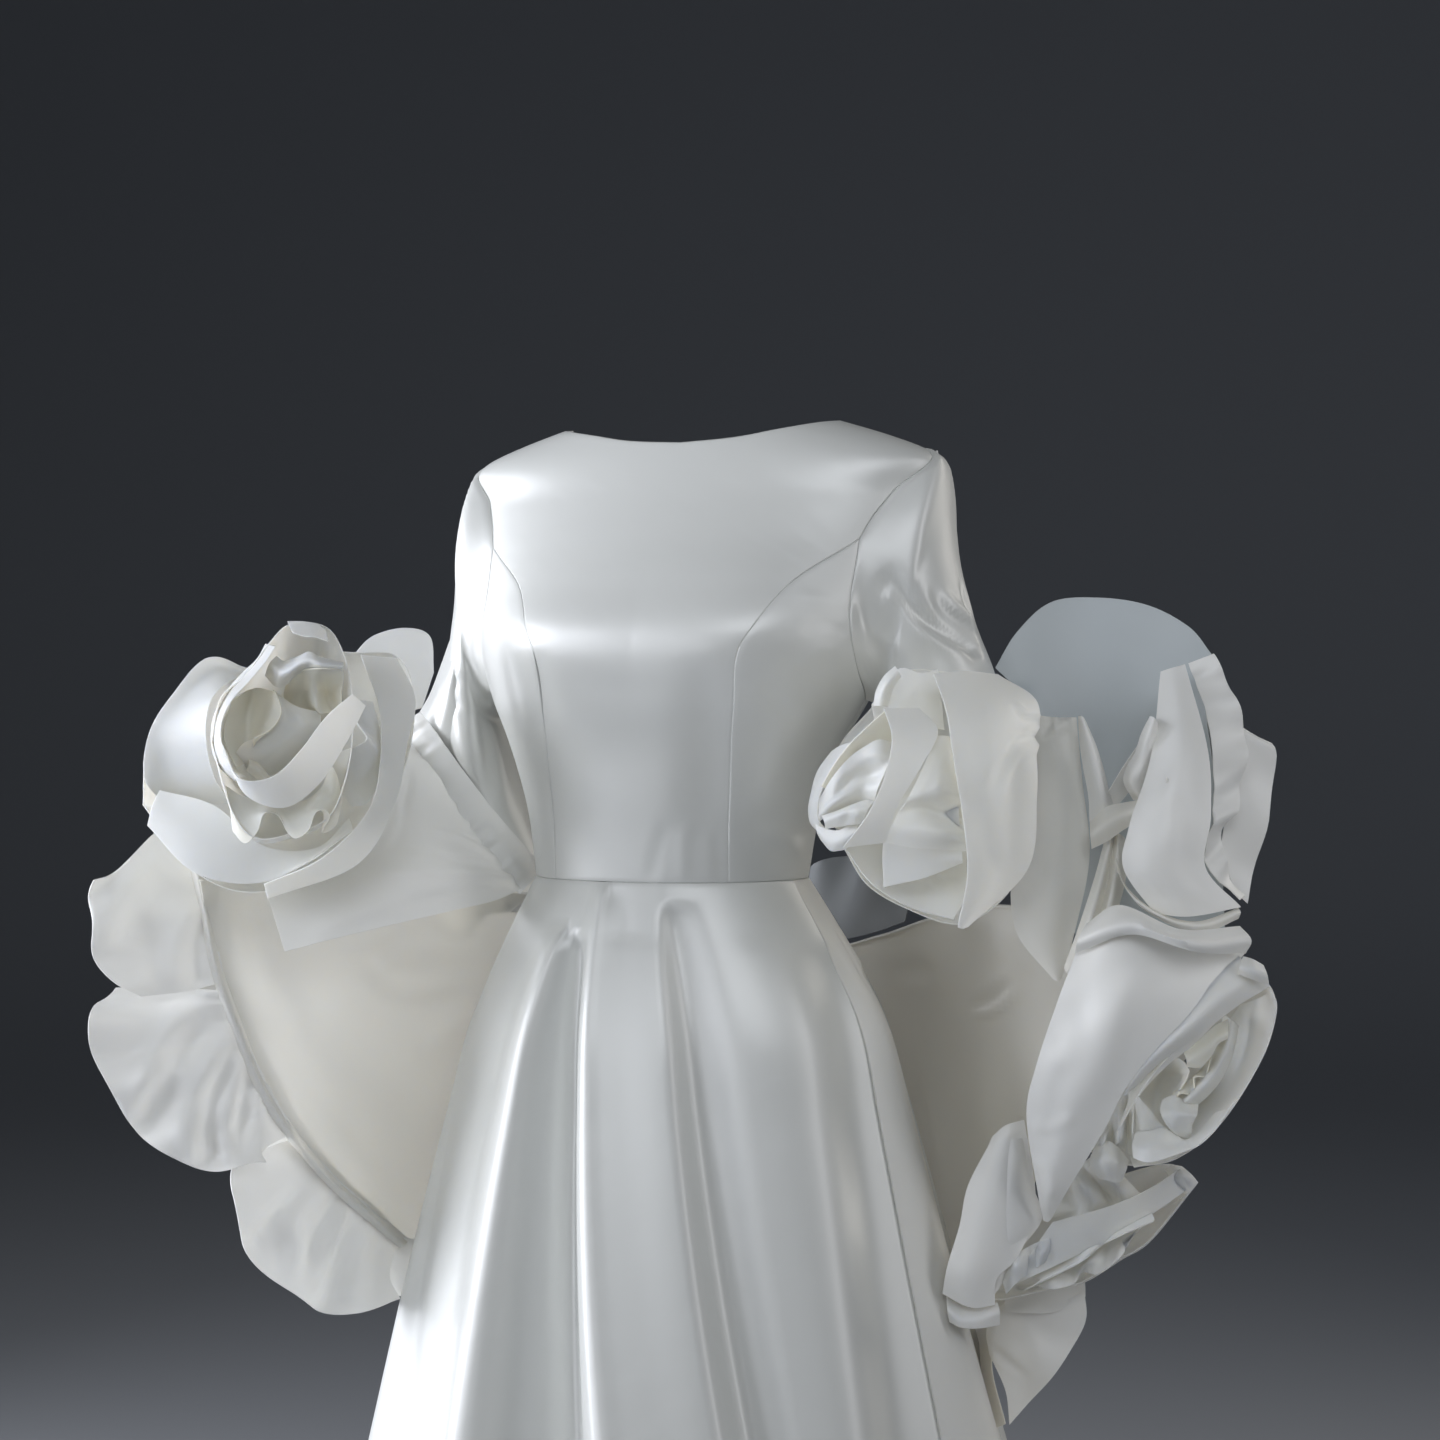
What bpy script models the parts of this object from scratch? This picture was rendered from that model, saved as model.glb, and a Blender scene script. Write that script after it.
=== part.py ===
"""Wedding dress in heavy ivory satin: fitted bodice with armhole princess seams and a boat neck, set-in
sleeves to the elbow, a flared skirt, and a wide drape from arm to arm with flounces and rolled roses.

Lengths in the tables are millimetres. X points to the wearer's left, Y to the back, Z up. The origin lies
between the shoulders, where the wearer holds the dress up.
"""
import math

import bmesh
import bpy
import numpy as np

MM = 0.001
WALL = 1.6                # satin with its facing
TRIM_WALL = 1.3           # petals and flounces
SEAM_GAP = 0.3
RIM_ANGLE = 80.0          # degrees: the cut edges of the cloth are sharper than this
CUP_FOOT = 0.07           # share of a cup's lip that its foot is wide
PANEL_PULL = 0.6 * SEAM_GAP   # each panel's edge is pulled in by this much
SLEEVE_PULL = 1.2 * SEAM_GAP
CURVE_STEPS = 24          # fine steps between two points of a smooth curve
WAIST = -385.0
HEM = -1500.0
LOW_FOLD = -864.0         # height at which the table of folds gives their low angle
ARMS_TURN = 19.0          # degrees from the chest to the plane in which both forearms are held out

# The torso: centre, half width, depth to the front and to the back of the section at each height
TORSO = [
    # height, centre_x, centre_y, half_width, front, back
    (-385, -26, -25, 117, 96, 88),
    (-330, -25, -24, 126, 100, 94),
    (-271, -24, -22, 146, 107, 104),
    (-235, -21, -20, 164, 116, 112),
    (-186, -18, -18, 180, 124, 118),
    (-141, -14, -15, 187, 108, 114),
    (-105, -12, -12, 192, 92, 106),
    (-70, -8, -10, 195, 76, 92),
    (-31, -4, -8, 193, 60, 74),
    (-18, -4, -8, 160, 54, 66),
    (-5, -4, -8, 119, 48, 58),
]
CUP = dict(angle=31.0, height=-190.0, across=20.0, up=52.0, fullness=7.0)

# Seams of the bodice as (angle from centre front, height) on the torso, for one side
PRINCESS = [(40, -385), (35.5, -300), (28.5, -215), (31.5, -178), (39.5, -141), (57, -108)]
ARMHOLE_TOP = [(57, -108), (61, -84), (72, -54), (90, -31)]
ARMHOLE_LOW = [(90, -238), (73, -214), (61, -170), (57, -108)]
ARMHOLE_BACK = [(90, -238), (108, -205), (119, -150), (116, -90), (106, -52), (90, -31)]
NECK_FRONT = [(90, -5), (57, -9), (33, -15), (15, -22), (0, -25)]
NECK_BACK = [(90, -5), (122, -10), (146, -17), (164, -24), (180, -27)]
SEAM_CELLS = dict(princess=8, armhole_top=6, armhole_low=5, side=8, armhole_back=8, neck=4, side_front=5)

# Rings of each sleeve: its outer point, its inner point, depth of its centre, half its depth
SLEEVES = {
    "sleeve_right": [
        # outer_x, outer_z, inner_x, inner_z, centre_y, half_depth
        (-214, -47, -197, -246, 3, 62),
        (-220, -88, -201, -254, 4, 58),
        (-228, -130, -198, -262, 6, 55),
        (-236, -170, -193, -280, 9, 53),
        (-244, -210, -186, -304, 12, 53),
        (-251, -242, -174, -338, 16, 53),
        (-256, -271, -153, -394, 20, 50),
    ],
    "sleeve_left": [
        (204, -47, 157, -244, 3, 60),
        (209, -90, 163, -249, 3, 57),
        (215, -130, 168, -258, 3, 54),
        (225, -168, 171, -272, 4, 52),
        (240, -205, 172, -290, 4, 52),
        (251, -240, 172, -315, 0, 50),
    ],
}

# The skirt: centre, half width, depth to the front and to the back
SKIRT = [
    # height, centre_x, centre_y, half_width, front, back
    (-385, -26, -25, 117, 96, 88),
    (-424, -25, -22, 139, 112, 112),
    (-500, -23, -14, 177, 145, 150),
    (-576, -24, -8, 197, 166, 176),
    (-686, -25, -4, 226, 192, 206),
    (-864, -24, 0, 274, 236, 256),
    (-1180, -22, 0, 362, 316, 346),
    (-1500, -20, 0, 450, 396, 436),
]
SKIRT_ROWS = 12
ROW_SPREAD = 1.25         # rows lie closer near the waist
# Folds below the waist: how they deepen down to LOW_FOLD, and how they deepen and fan out beneath it
FOLD_GROWTH = dict(early=0.5, deepen=0.35, fan=0.2)
STRIP_START = 6.0         # the strip along the side panel's edge is full width a sixth of the way down
SKIRT_FOLDS = [
    # low_angle, top_angle, top_height, depth (a ridge stands out, a valley is below 0)
    (-167, -168, -450, -18),
    (-146, -150, -450, 18),
    (-124, -130, -450, -20),
    (-104, -112, -450, 17),
    (-84, -96, -450, -14),
    (-52, -72, -500, 6),
    (-42, -60, -600, -2),
    (-34, -50, -560, 6),
    (-27, -38, -560, 8),
    (-20.5, -24, -425, 26),
    (-16.5, -22.5, -430, 18),
    (-8, -20.5, -430, 6),
    (-4.5, -20, -430, -8),
    (-1.5, -19, -430, -32),
    (5.5, -11, -385, 17),
    (10, -8, -400, 14),
    (17, 0, -430, 9),
    (22, 7, -430, 7),
    (31, 16, -405, -15),
    (38, 30, -395, 0),
    (47, 50, -430, 5),
    (61, 70, -440, -10),
    (84, 84, -470, 8),
    (106, 106, -460, -14),
    (128, 128, -450, 17),
    (150, 149, -450, -20),
    (171, 170, -450, 17),
]
CELLS_PER_FOLD = 3
SKIRT_PANELS = {
    # name: first and last angle low down, how far its first edge stands out
    "skirt_front": (-92, 70, 0.0),
    "skirt_side_left": (70, 117, 3.0),
    "skirt_back_left": (117, 180, 0.0),
    "skirt_back_right": (-180, -92, 0.0),
}

# Cloth laid between edges. The points are (across, away, up) in the frame of the arms, which is the frame
# of the dress turned by ARMS_TURN about Z: across runs from the right hand to the left, away to the back.
DRAPE = [
    # its edges from the top to the bottom, each from the right hand round the back to the left
    [(-415, -93, -384), (-359, -35, -391), (-268, 35, -395), (-188, 110, -405), (-103, 182, -419),
     (-58, 235, -428), (3, 258, -429), (59, 245, -442), (108, 192, -461), (151, 120, -446),
     (199, 60, -424), (253, 0, -411), (298, -45, -428)],
    [(-398, -90, -475), (-341, -45, -486), (-270, 50, -497), (-192, 155, -517), (-103, 227, -525),
     (-59, 275, -530), (3, 295, -533), (65, 272, -530), (118, 202, -522), (169, 130, -514),
     (217, 65, -498), (262, 5, -492), (302, -45, -486)],
    [(-366, -73, -565), (-321, -15, -570), (-265, 80, -588), (-195, 195, -605), (-104, 262, -619),
     (-60, 305, -626), (3, 322, -628), (70, 295, -624), (130, 220, -608), (179, 140, -597),
     (218, 75, -587), (255, 15, -578), (282, -40, -570)],
    [(-315, -43, -636), (-280, 60, -654), (-238, 160, -677), (-181, 245, -697), (-106, 296, -711),
     (-61, 332, -722), (8, 345, -725), (75, 310, -718), (138, 232, -704), (189, 155, -689),
     (224, 90, -677), (252, 30, -658), (272, -25, -639)],
    [(-266, 30, -705), (-241, 145, -744), (-206, 215, -770), (-164, 270, -796), (-107, 315, -816),
     (-61, 350, -829), (8, 362, -836), (85, 325, -828), (148, 252, -802), (199, 170, -784),
     (225, 100, -759), (242, 50, -739), (247, 20, -724)],
]
DRAPE_CELLS = (26, 8)
DRAPE_PANELS = {
    # name: its first and last column of cells
    "drape_right": (0, 9),
    "drape_back": (9, 17),
    "drape_left": (17, 26),
}
LAID = {
    # name: (cells along the edges, cells from the first edge to the last, edges)
    "drape_flap": (8, 5, [
        [(-319, -18, -318), (-297, -16, -292), (-277, 14, -278), (-260, 70, -274)],
        [(-342, -28, -353), (-300, -28, -331), (-262, 0, -307), (-230, 52, -297)],
        [(-371, -56, -376), (-303, -50, -362), (-240, -20, -343), (-198, 26, -340)],
        [(-354, -104, -407), (-294, -84, -391), (-225, -46, -372), (-169, 28, -376)],
        [(-342, -115, -440), (-284, -95, -426), (-220, -56, -413), (-182, -12, -406), (-159, 36, -397)],
    ]),
    "flounce_right_1": (10, 3, [
        [(-462, -60, -350), (-433, -60, -361), (-416, -86, -405), (-406, -95, -445), (-401, -97, -468)],
        [(-479, -100, -374), (-454, -92, -384), (-444, -106, -411),
         (-437, -108, -446), (-424, -106, -473)],
        [(-490, -128, -382), (-493, -138, -401), (-490, -144, -435),
         (-476, -136, -462), (-455, -124, -475)],
    ]),
    "flounce_right_2": (12, 3, [
        [(-400, -97, -473), (-385, -93, -514), (-366, -85, -557), (-346, -78, -594)],
        [(-446, -96, -470), (-435, -118, -527), (-409, -112, -580), (-363, -100, -602)],
        [(-479, -108, -468), (-495, -140, -494), (-477, -138, -548),
         (-447, -128, -593), (-398, -118, -616), (-358, -108, -609)],
    ]),
    "flounce_right_3": (12, 3, [
        [(-345, -62, -599), (-318, -47, -636), (-293, -20, -667), (-269, 20, -701)],
        [(-366, -84, -603), (-354, -86, -661), (-321, -58, -705), (-271, -6, -724)],
        [(-377, -94, -596), (-386, -114, -633), (-370, -102, -690),
         (-329, -76, -732), (-294, -48, -746), (-261, -8, -742)],
    ]),
    "rose_right_left": (9, 3, [
        [(-384, -118, -321), (-394, -140, -298), (-398, -152, -266),
         (-395, -145, -238), (-382, -125, -222), (-370, -108, -220)],
        [(-418, -108, -320), (-429, -124, -299), (-429, -136, -266),
         (-417, -130, -238), (-396, -115, -214), (-375, -102, -217)],
        [(-444, -108, -318), (-453, -124, -299), (-447, -132, -264),
         (-430, -126, -234), (-404, -114, -204), (-373, -100, -213)],
    ]),
    "rose_right_low": (9, 3, [
        [(-439, -130, -310), (-393, -142, -322), (-354, -150, -353),
         (-311, -152, -355), (-285, -150, -331)],
        [(-444, -134, -322), (-404, -146, -351), (-357, -152, -369),
         (-312, -154, -361), (-283, -152, -336)],
        [(-448, -134, -338), (-409, -146, -374), (-360, -152, -383),
         (-318, -156, -367), (-282, -154, -341)],
    ]),
    "rose_right_band": (10, 2, [
        [(-282, -108, -202), (-263, -146, -242), (-258, -170, -285),
         (-266, -184, -325), (-301, -190, -361), (-348, -176, -382)],
        [(-255, -92, -204), (-237, -116, -238), (-242, -136, -276),
         (-249, -150, -319), (-277, -162, -367), (-347, -164, -394)],
    ]),
    "rose_right_back": (7, 2, [
        [(-301, -20, -242), (-273, -22, -251), (-242, -24, -244)],
        [(-300, -30, -201), (-283, -30, -184), (-256, -30, -177), (-235, -28, -184), (-232, -26, -214)],
    ]),
    "rose_right_strap": (9, 2, [
        [(-376, -205, -271), (-360, -218, -298), (-333, -224, -297),
         (-312, -222, -277), (-294, -210, -251), (-277, -192, -234)],
        [(-373, -200, -279), (-356, -210, -311), (-326, -214, -321),
         (-300, -214, -304), (-281, -206, -274), (-267, -188, -243)],
    ]),
    "rose_left_band": (10, 3, [
        [(174, -176, -218), (181, -206, -246), (186, -220, -286),
         (192, -222, -324), (197, -212, -371), (191, -196, -414)],
        [(200, -166, -216), (219, -196, -248), (224, -212, -286),
         (225, -212, -324), (220, -204, -372), (195, -194, -415)],
        [(228, -140, -218), (257, -158, -240), (255, -170, -277),
         (255, -172, -313), (248, -172, -370), (200, -188, -414)],
    ]),
    "rose_left_strap": (8, 2, [
        [(134, -196, -245), (139, -214, -268), (133, -222, -297), (120, -222, -326), (102, -206, -352)],
        [(162, -190, -245), (175, -206, -263), (162, -218, -288), (143, -220, -320), (135, -206, -348)],
    ]),
    "rose_left_fold": (7, 3, [
        [(151, -190, -297), (174, -196, -289), (189, -200, -291)],
        [(135, -186, -346), (166, -196, -345), (194, -200, -356)],
        [(135, -180, -384), (166, -190, -376), (195, -196, -364)],
    ]),
    "rose_left_cup": (8, 3, [
        [(125, -140, -317), (146, -142, -345), (174, -144, -357), (209, -146, -353)],
        [(110, -154, -342), (133, -158, -370), (166, -162, -387), (205, -164, -384)],
        [(106, -164, -355), (126, -170, -382), (156, -176, -400), (189, -182, -409)],
    ]),
    "rose_left_top": (7, 2, [
        [(132, -158, -271), (153, -160, -260), (171, -160, -260), (184, -160, -262)],
        [(127, -152, -242), (148, -146, -214), (166, -148, -217), (180, -146, -214)],
    ]),
    "left_tail": (4, 6, [
        [(248, -66, -247), (272, -90, -251), (297, -100, -252)],
        [(246, -66, -312), (273, -98, -311), (301, -110, -304)],
        [(244, -66, -369), (276, -104, -367), (306, -114, -363)],
        [(246, -92, -423), (270, -110, -425), (294, -112, -424)],
        [(275, -112, -462), (279, -113, -464), (282, -112, -462)],
    ]),
    "left_back_petal": (10, 8, [
        [(305, -70, -451), (328, -66, -431), (361, -66, -423), (393, -70, -426), (421, -76, -430)],
        [(289, -66, -386), (330, -54, -378), (363, -54, -374), (395, -60, -374), (419, -72, -375)],
        [(278, -60, -312), (315, -44, -312), (356, -44, -308), (392, -52, -308), (415, -68, -311)],
        [(267, -54, -241), (292, -44, -247), (332, -40, -242), (373, -46, -237), (407, -64, -242)],
        [(250, -44, -224), (274, -38, -200), (320, -34, -187), (365, -40, -192), (409, -58, -224)],
        [(237, -38, -211), (256, -34, -180), (285, -30, -155), (325, -30, -152),
         (366, -36, -159), (398, -44, -177), (415, -52, -201)],
    ]),
    "left_inner_fold": (7, 2, [
        [(376, -84, -247), (356, -96, -286), (332, -104, -319), (311, -106, -340)],
        [(346, -108, -272), (331, -112, -293), (319, -114, -312), (308, -112, -323)],
    ]),
    "left_puff": (5, 8, [
        [(364, -100, -215), (373, -100, -212), (384, -96, -209)],
        [(351, -128, -282), (372, -146, -279), (396, -124, -278)],
        [(331, -142, -338), (361, -168, -331), (395, -138, -330)],
        [(326, -142, -371), (355, -176, -369), (390, -142, -370)],
        [(351, -146, -406), (378, -164, -408), (419, -140, -402)],
    ]),
    "left_flounce_1": (10, 2, [
        [(389, -86, -208), (400, -104, -248), (404, -112, -286),
         (403, -118, -331), (397, -118, -369), (424, -122, -398)],
        [(410, -84, -201), (423, -96, -231), (433, -102, -269),
         (427, -106, -314), (412, -108, -357), (428, -112, -396)],
    ]),
    "left_flounce_2": (9, 2, [
        [(415, -78, -238), (422, -84, -278), (421, -88, -319), (415, -92, -360), (426, -94, -394)],
        [(442, -72, -274), (462, -76, -281), (455, -82, -332), (444, -88, -370), (435, -94, -403)],
    ]),
    "left_roll": (9, 3, [
        [(297, -150, -415), (323, -156, -400), (368, -168, -418), (418, -150, -417)],
        [(288, -164, -427), (326, -182, -411), (369, -194, -426), (425, -160, -427)],
        [(287, -158, -437), (329, -176, -421), (374, -186, -433), (422, -152, -438)],
    ]),
    "left_panel": (5, 10, [
        [(287, -148, -441), (333, -166, -424), (421, -146, -441)],
        [(273, -146, -476), (319, -178, -472), (373, -172, -489)],
        [(257, -142, -524), (290, -172, -524), (330, -168, -537)],
        [(250, -132, -566), (278, -160, -568), (310, -156, -578)],
        [(261, -122, -630), (271, -138, -626), (286, -138, -624)],
        [(267, -118, -655), (270, -119, -656), (272, -120, -655)],
    ]),
    "rose_low_cuff": (7, 2, [
        [(425, -134, -450), (379, -160, -498), (345, -162, -535), (322, -150, -578)],
        [(440, -128, -462), (409, -142, -485), (374, -150, -516), (340, -146, -529)],
    ]),
    "rose_low_cup": (9, 3, [
        [(429, -98, -485), (415, -92, -507), (401, -88, -535),
         (382, -88, -560), (359, -90, -577), (341, -92, -593)],
        [(441, -126, -475), (434, -118, -514), (416, -112, -552),
         (391, -110, -582), (361, -112, -598), (337, -114, -603)],
        [(442, -150, -466), (448, -146, -483), (438, -140, -522),
         (407, -134, -574), (372, -132, -603), (337, -134, -610)],
    ]),
    "rose_end_band": (8, 2, [
        [(275, -112, -658), (321, -112, -645), (355, -104, -632), (381, -92, -618)],
        [(238, -112, -711), (282, -114, -690), (338, -106, -664), (394, -90, -631)],
    ]),
    "left_fold": (5, 8, [
        [(225, -106, -596), (238, -110, -587), (254, -106, -583)],
        [(207, -112, -629), (232, -120, -627), (262, -106, -644)],
        [(200, -116, -660), (219, -126, -666), (247, -116, -684)],
        [(190, -120, -691), (207, -130, -697), (229, -122, -701)],
        [(186, -118, -714), (208, -122, -724), (228, -118, -723)],
    ]),
    "left_end_flounce": (9, 3, [
        [(253, -46, -737), (240, -42, -749), (234, -38, -767), (235, -34, -788)],
        [(283, -50, -738), (273, -48, -763), (260, -42, -788), (246, -36, -814)],
        [(309, -52, -726), (310, -54, -750), (297, -52, -777), (278, -44, -806), (249, -36, -841)],
    ]),
    "back_ruffle": (9, 2, [
        [(82, 222, -450), (108, 190, -457), (130, 156, -451), (151, 119, -442), (171, 93, -432)],
        [(96, 225, -392), (123, 195, -379), (144, 160, -387), (165, 130, -381), (183, 100, -396)],
    ]),
}
RIPPLE_START = 0.6        # radians
RIPPLE_GROWTH = 1.3       # ripples deepen towards the free edge
RIPPLES = {
    # name: (waves along the last edge, depth)
    "flounce_right_1": (2, 4),
    "flounce_right_2": (4, 5),
    "flounce_right_3": (3, 5),
    "left_back_petal": (2, 2),
    "left_flounce_1": (5, 4),
    "left_flounce_2": (4, 6),
    "left_end_flounce": (2, 3),
    "back_ruffle": (2, 8),
}
CUPS = {
    # name: (foot of the cup as across, away, up; cells around, cells up; points of its lip)
    "rose_right_cup": ((-354, -40, -296), 22, 5, [
        (-455, -118, -322), (-449, -120, -266), (-407, -108, -206), (-372, -96, -212), (-334, -90, -197),
        (-294, -82, -199), (-256, -78, -202), (-240, -98, -238), (-246, -118, -294), (-277, -138, -359),
        (-355, -146, -390), (-411, -140, -373),
    ]),
    "rose_right_bowl": ((-345, -96, -290), 20, 5, [
        (-387, -186, -271), (-381, -180, -237), (-364, -172, -220), (-346, -168, -195), (-329, -166, -179),
        (-302, -160, -181), (-287, -164, -204), (-279, -176, -238), (-279, -190, -285), (-293, -196, -327),
        (-319, -200, -340), (-348, -204, -345), (-368, -200, -325),
    ]),
    "rose_left_outer": ((176, -124, -310), 22, 4, [
        (107, -140, -357), (94, -128, -318), (103, -126, -276), (130, -128, -243), (151, -130, -216),
        (191, -130, -216), (229, -132, -221), (257, -134, -241), (255, -144, -279), (256, -150, -317),
        (248, -158, -364), (227, -162, -397), (194, -166, -414), (154, -158, -402), (124, -150, -384),
    ]),
    "rose_low_outer": ((395, -40, -541), 18, 4, [
        (428, -112, -449), (449, -112, -467), (454, -110, -487), (443, -106, -527), (412, -102, -578),
        (376, -100, -607), (342, -102, -614), (308, -104, -603), (301, -104, -565), (330, -108, -512),
        (372, -108, -468), (412, -108, -444),
    ]),
    "rose_end_outer": ((322, -22, -689), 16, 3, [
        (397, -66, -636), (360, -74, -679), (335, -78, -694), (303, -80, -713), (271, -82, -719),
        (228, -84, -725), (227, -86, -690), (268, -84, -649), (328, -76, -629), (377, -68, -619),
    ]),
}
HEARTS = {
    # name: centre (across, away, up), the way it opens, radius inside and outside, turns, length, flare
    "rose_right_heart": ((-345, -132, -270), (0.05, -1.0, 0.05), 6, 32, 2.0, 54, 0.18),
    "rose_left_heart": ((138, -152, -312), (-0.6, -0.8, 0.05), 5, 33, 2.1, 46, 0.12),
    "rose_low_heart": ((366, -82, -524), (0.2, -0.95, -0.2), 4, 16, 1.6, 36, 0.15),
    "rose_end_heart": ((306, -50, -674), (0.1, -0.95, -0.3), 3, 10, 1.4, 32, 0.15),
}
HEART_CELLS = dict(along=30, across=3)
# The rolled strip is narrower at its foot, and its lip has so many waves a turn, this wide and this high
HEART_FORM = dict(foot=0.72, waves=5, wide=0.10, high=3.0, start=0.8, taper=0.25)


def clear_scene():
    for thing in list(bpy.data.objects):
        bpy.data.objects.remove(thing, do_unlink=True)


def through(points, count):
    """A smooth curve through the points, cut into count cells of about even length."""
    points = np.asarray(points, float)
    ends = np.vstack([2 * points[0] - points[1], points, 2 * points[-1] - points[-2]])
    fine = []
    for i in range(len(points) - 1):
        a, b, c, d = ends[i:i + 4]
        for k in range(CURVE_STEPS):
            t = k / CURVE_STEPS
            fine.append(0.5 * (2 * b + (c - a) * t + (2 * a - 5 * b + 4 * c - d) * t * t
                               + (3 * b - a - 3 * c + d) * t ** 3))
    fine.append(points[-1])
    fine = np.array(fine)
    length = np.concatenate([[0.0], np.cumsum(np.linalg.norm(np.diff(fine, axis=0), axis=1))])
    at = np.linspace(0.0, length[-1], count + 1)
    return np.stack([np.interp(at, length, fine[:, k]) for k in range(fine.shape[1])], axis=1)


def section(table, height):
    """The row of the table at this height, smoothed between rows."""
    rows = np.asarray(sorted(table), float)
    z = rows[:, 0]
    out = []
    i = int(np.clip(np.searchsorted(z, height) - 1, 0, len(z) - 2))
    t = float(np.clip((height - z[i]) / (z[i + 1] - z[i]), 0.0, 1.0))
    for k in range(1, rows.shape[1]):
        v = rows[:, k]
        slope = np.gradient(v, z)
        step = z[i + 1] - z[i]
        out.append((2 * t ** 3 - 3 * t * t + 1) * v[i] + (t ** 3 - 2 * t * t + t) * step * slope[i]
                   + (3 * t * t - 2 * t ** 3) * v[i + 1] + (t ** 3 - t * t) * step * slope[i + 1])
    return out


def on_torso(angle, height):
    centre_x, centre_y, half, front, back = section(TORSO, height)
    turn = math.radians(angle)
    depth = front if abs(angle) <= 90.0 else back
    point = np.array([centre_x + half * math.sin(turn), centre_y - depth * math.cos(turn), height])
    off = (abs(angle) - CUP["angle"]) / CUP["across"]
    rise = (height - CUP["height"]) / CUP["up"]
    fullness = CUP["fullness"] * math.exp(-off * off - rise * rise)
    return point + fullness * np.array([math.sin(turn), -math.cos(turn), 0.0])


def folds_at(height):
    """Angle and depth of every fold at this height, once round and a little more."""
    fall = [max(0.0, (row[2] - height) / (row[2] - LOW_FOLD)) for row in SKIRT_FOLDS]
    angle = [low + (top - low) * (1.0 - min(1.0, f) - FOLD_GROWTH["fan"] * max(0.0, f - 1.0))
             for (low, top, _, _), f in zip(SKIRT_FOLDS, fall)]
    depth = [row[3] * min(1.0, f) ** FOLD_GROWTH["early"] * (1.0 + FOLD_GROWTH["deepen"] * max(0.0, f - 1.0))
             for row, f in zip(SKIRT_FOLDS, fall)]
    angle = np.concatenate([[angle[-1] - 360.0], angle, [angle[0] + 360.0]])
    return angle, np.concatenate([[depth[-1]], depth, [depth[0]]])


def fold_depth(angle, height):
    """Depth of the folds at this angle: level on crests and in valleys, a smooth slope between them."""
    centres, depths = folds_at(height)
    step = np.diff(centres)
    rise = np.diff(depths) / step
    i = int(np.clip(np.searchsorted(centres, angle) - 1, 0, len(step) - 1))
    slope = [0.0, 0.0]
    for end, k in enumerate((i, i + 1)):
        if 0 < k < len(step) and rise[k - 1] * rise[k] > 0.0:
            slope[end] = 2.0 * rise[k - 1] * rise[k] / (rise[k - 1] + rise[k])
    t = (angle - centres[i]) / step[i]
    return ((2 * t ** 3 - 3 * t * t + 1) * depths[i] + (t ** 3 - 2 * t * t + t) * step[i] * slope[0]
            + (3 * t * t - 2 * t ** 3) * depths[i + 1] + (t ** 3 - t * t) * step[i] * slope[1])


def on_skirt(angle, height, out=0.0):
    centre_x, centre_y, half, front, back = section(SKIRT, height)
    turn = math.radians(angle)
    depth = front if abs(angle) <= 90.0 else back
    away = np.array([math.sin(turn), -math.cos(turn), 0.0])
    point = np.array([centre_x + half * math.sin(turn), centre_y - depth * math.cos(turn), height])
    return point + (fold_depth(angle, height) + out) * away


def skirt_columns(first, last):
    """Low angles of a panel's columns: its edges, its folds and a few between."""
    stops = [first] + [row[0] for row in SKIRT_FOLDS if first + 4 < row[0] < last - 4] + [last]
    columns = [first]
    for a, b in zip(stops, stops[1:]):
        columns += [a + (b - a) * (k + 1) / CELLS_PER_FOLD for k in range(CELLS_PER_FOLD)]
    return columns


def angle_at(low_angle, height):
    """The angle, at this height, of the line down the skirt that ends at low_angle."""
    low = folds_at(LOW_FOLD)[0]
    return float(np.interp(low_angle, low, folds_at(height)[0]))


def patch(bottom, right, top, left):
    """The grid of (angle, height) inside four edges that meet at their ends."""
    rows, columns = len(left), len(bottom)
    grid = np.zeros((rows, columns, 2))
    for i in range(rows):
        v = i / (rows - 1)
        for j in range(columns):
            u = j / (columns - 1)
            low = bottom[j] - (1 - u) * bottom[0] - u * bottom[-1]
            high = top[j] - (1 - u) * top[0] - u * top[-1]
            grid[i, j] = (1 - u) * left[i] + u * right[i] + (1 - v) ** 3 * low + v ** 3 * high
    return grid


def trim(grid, amount, edges="brtl"):
    """Pull the edges of the grid in by this much, so that neighbouring pieces stand a seam's gap apart."""
    cut = grid.copy()
    if "b" in edges:
        cut[0] += pull(grid[0], grid[1], amount)
    if "t" in edges:
        cut[-1] += pull(grid[-1], grid[-2], amount)
    if "l" in edges:
        cut[:, 0] += pull(grid[:, 0], grid[:, 1], amount)
    if "r" in edges:
        cut[:, -1] += pull(grid[:, -1], grid[:, -2], amount)
    return cut


def pull(edge, inside, amount):
    """The step, square to the edge and towards the row inside it, that moves the edge by this much."""
    along = np.gradient(edge, axis=0)
    along /= np.maximum(np.linalg.norm(along, axis=1, keepdims=True), 1e-9)
    step = inside - edge
    step = step - np.sum(step * along, axis=1, keepdims=True) * along
    return amount * step / np.maximum(np.linalg.norm(step, axis=1, keepdims=True), 1e-9)


def normals(grid, ring=False):
    if ring:
        around = np.roll(grid, -1, axis=1) - np.roll(grid, 1, axis=1)
    else:
        around = np.gradient(grid, axis=1)
    up = np.gradient(grid, axis=0)
    n = np.cross(around, up)
    return n / np.maximum(np.linalg.norm(n, axis=2, keepdims=True), 1e-9)


def finish(name, colour):
    material = bpy.data.materials.new(name + "_satin")
    material.use_nodes = True
    shader = material.node_tree.nodes["Principled BSDF"]
    shader.inputs["Base Color"].default_value = (*colour, 1.0)
    shader.inputs["Roughness"].default_value = 0.42
    shader.inputs["Metallic"].default_value = 0.0
    return material


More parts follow.
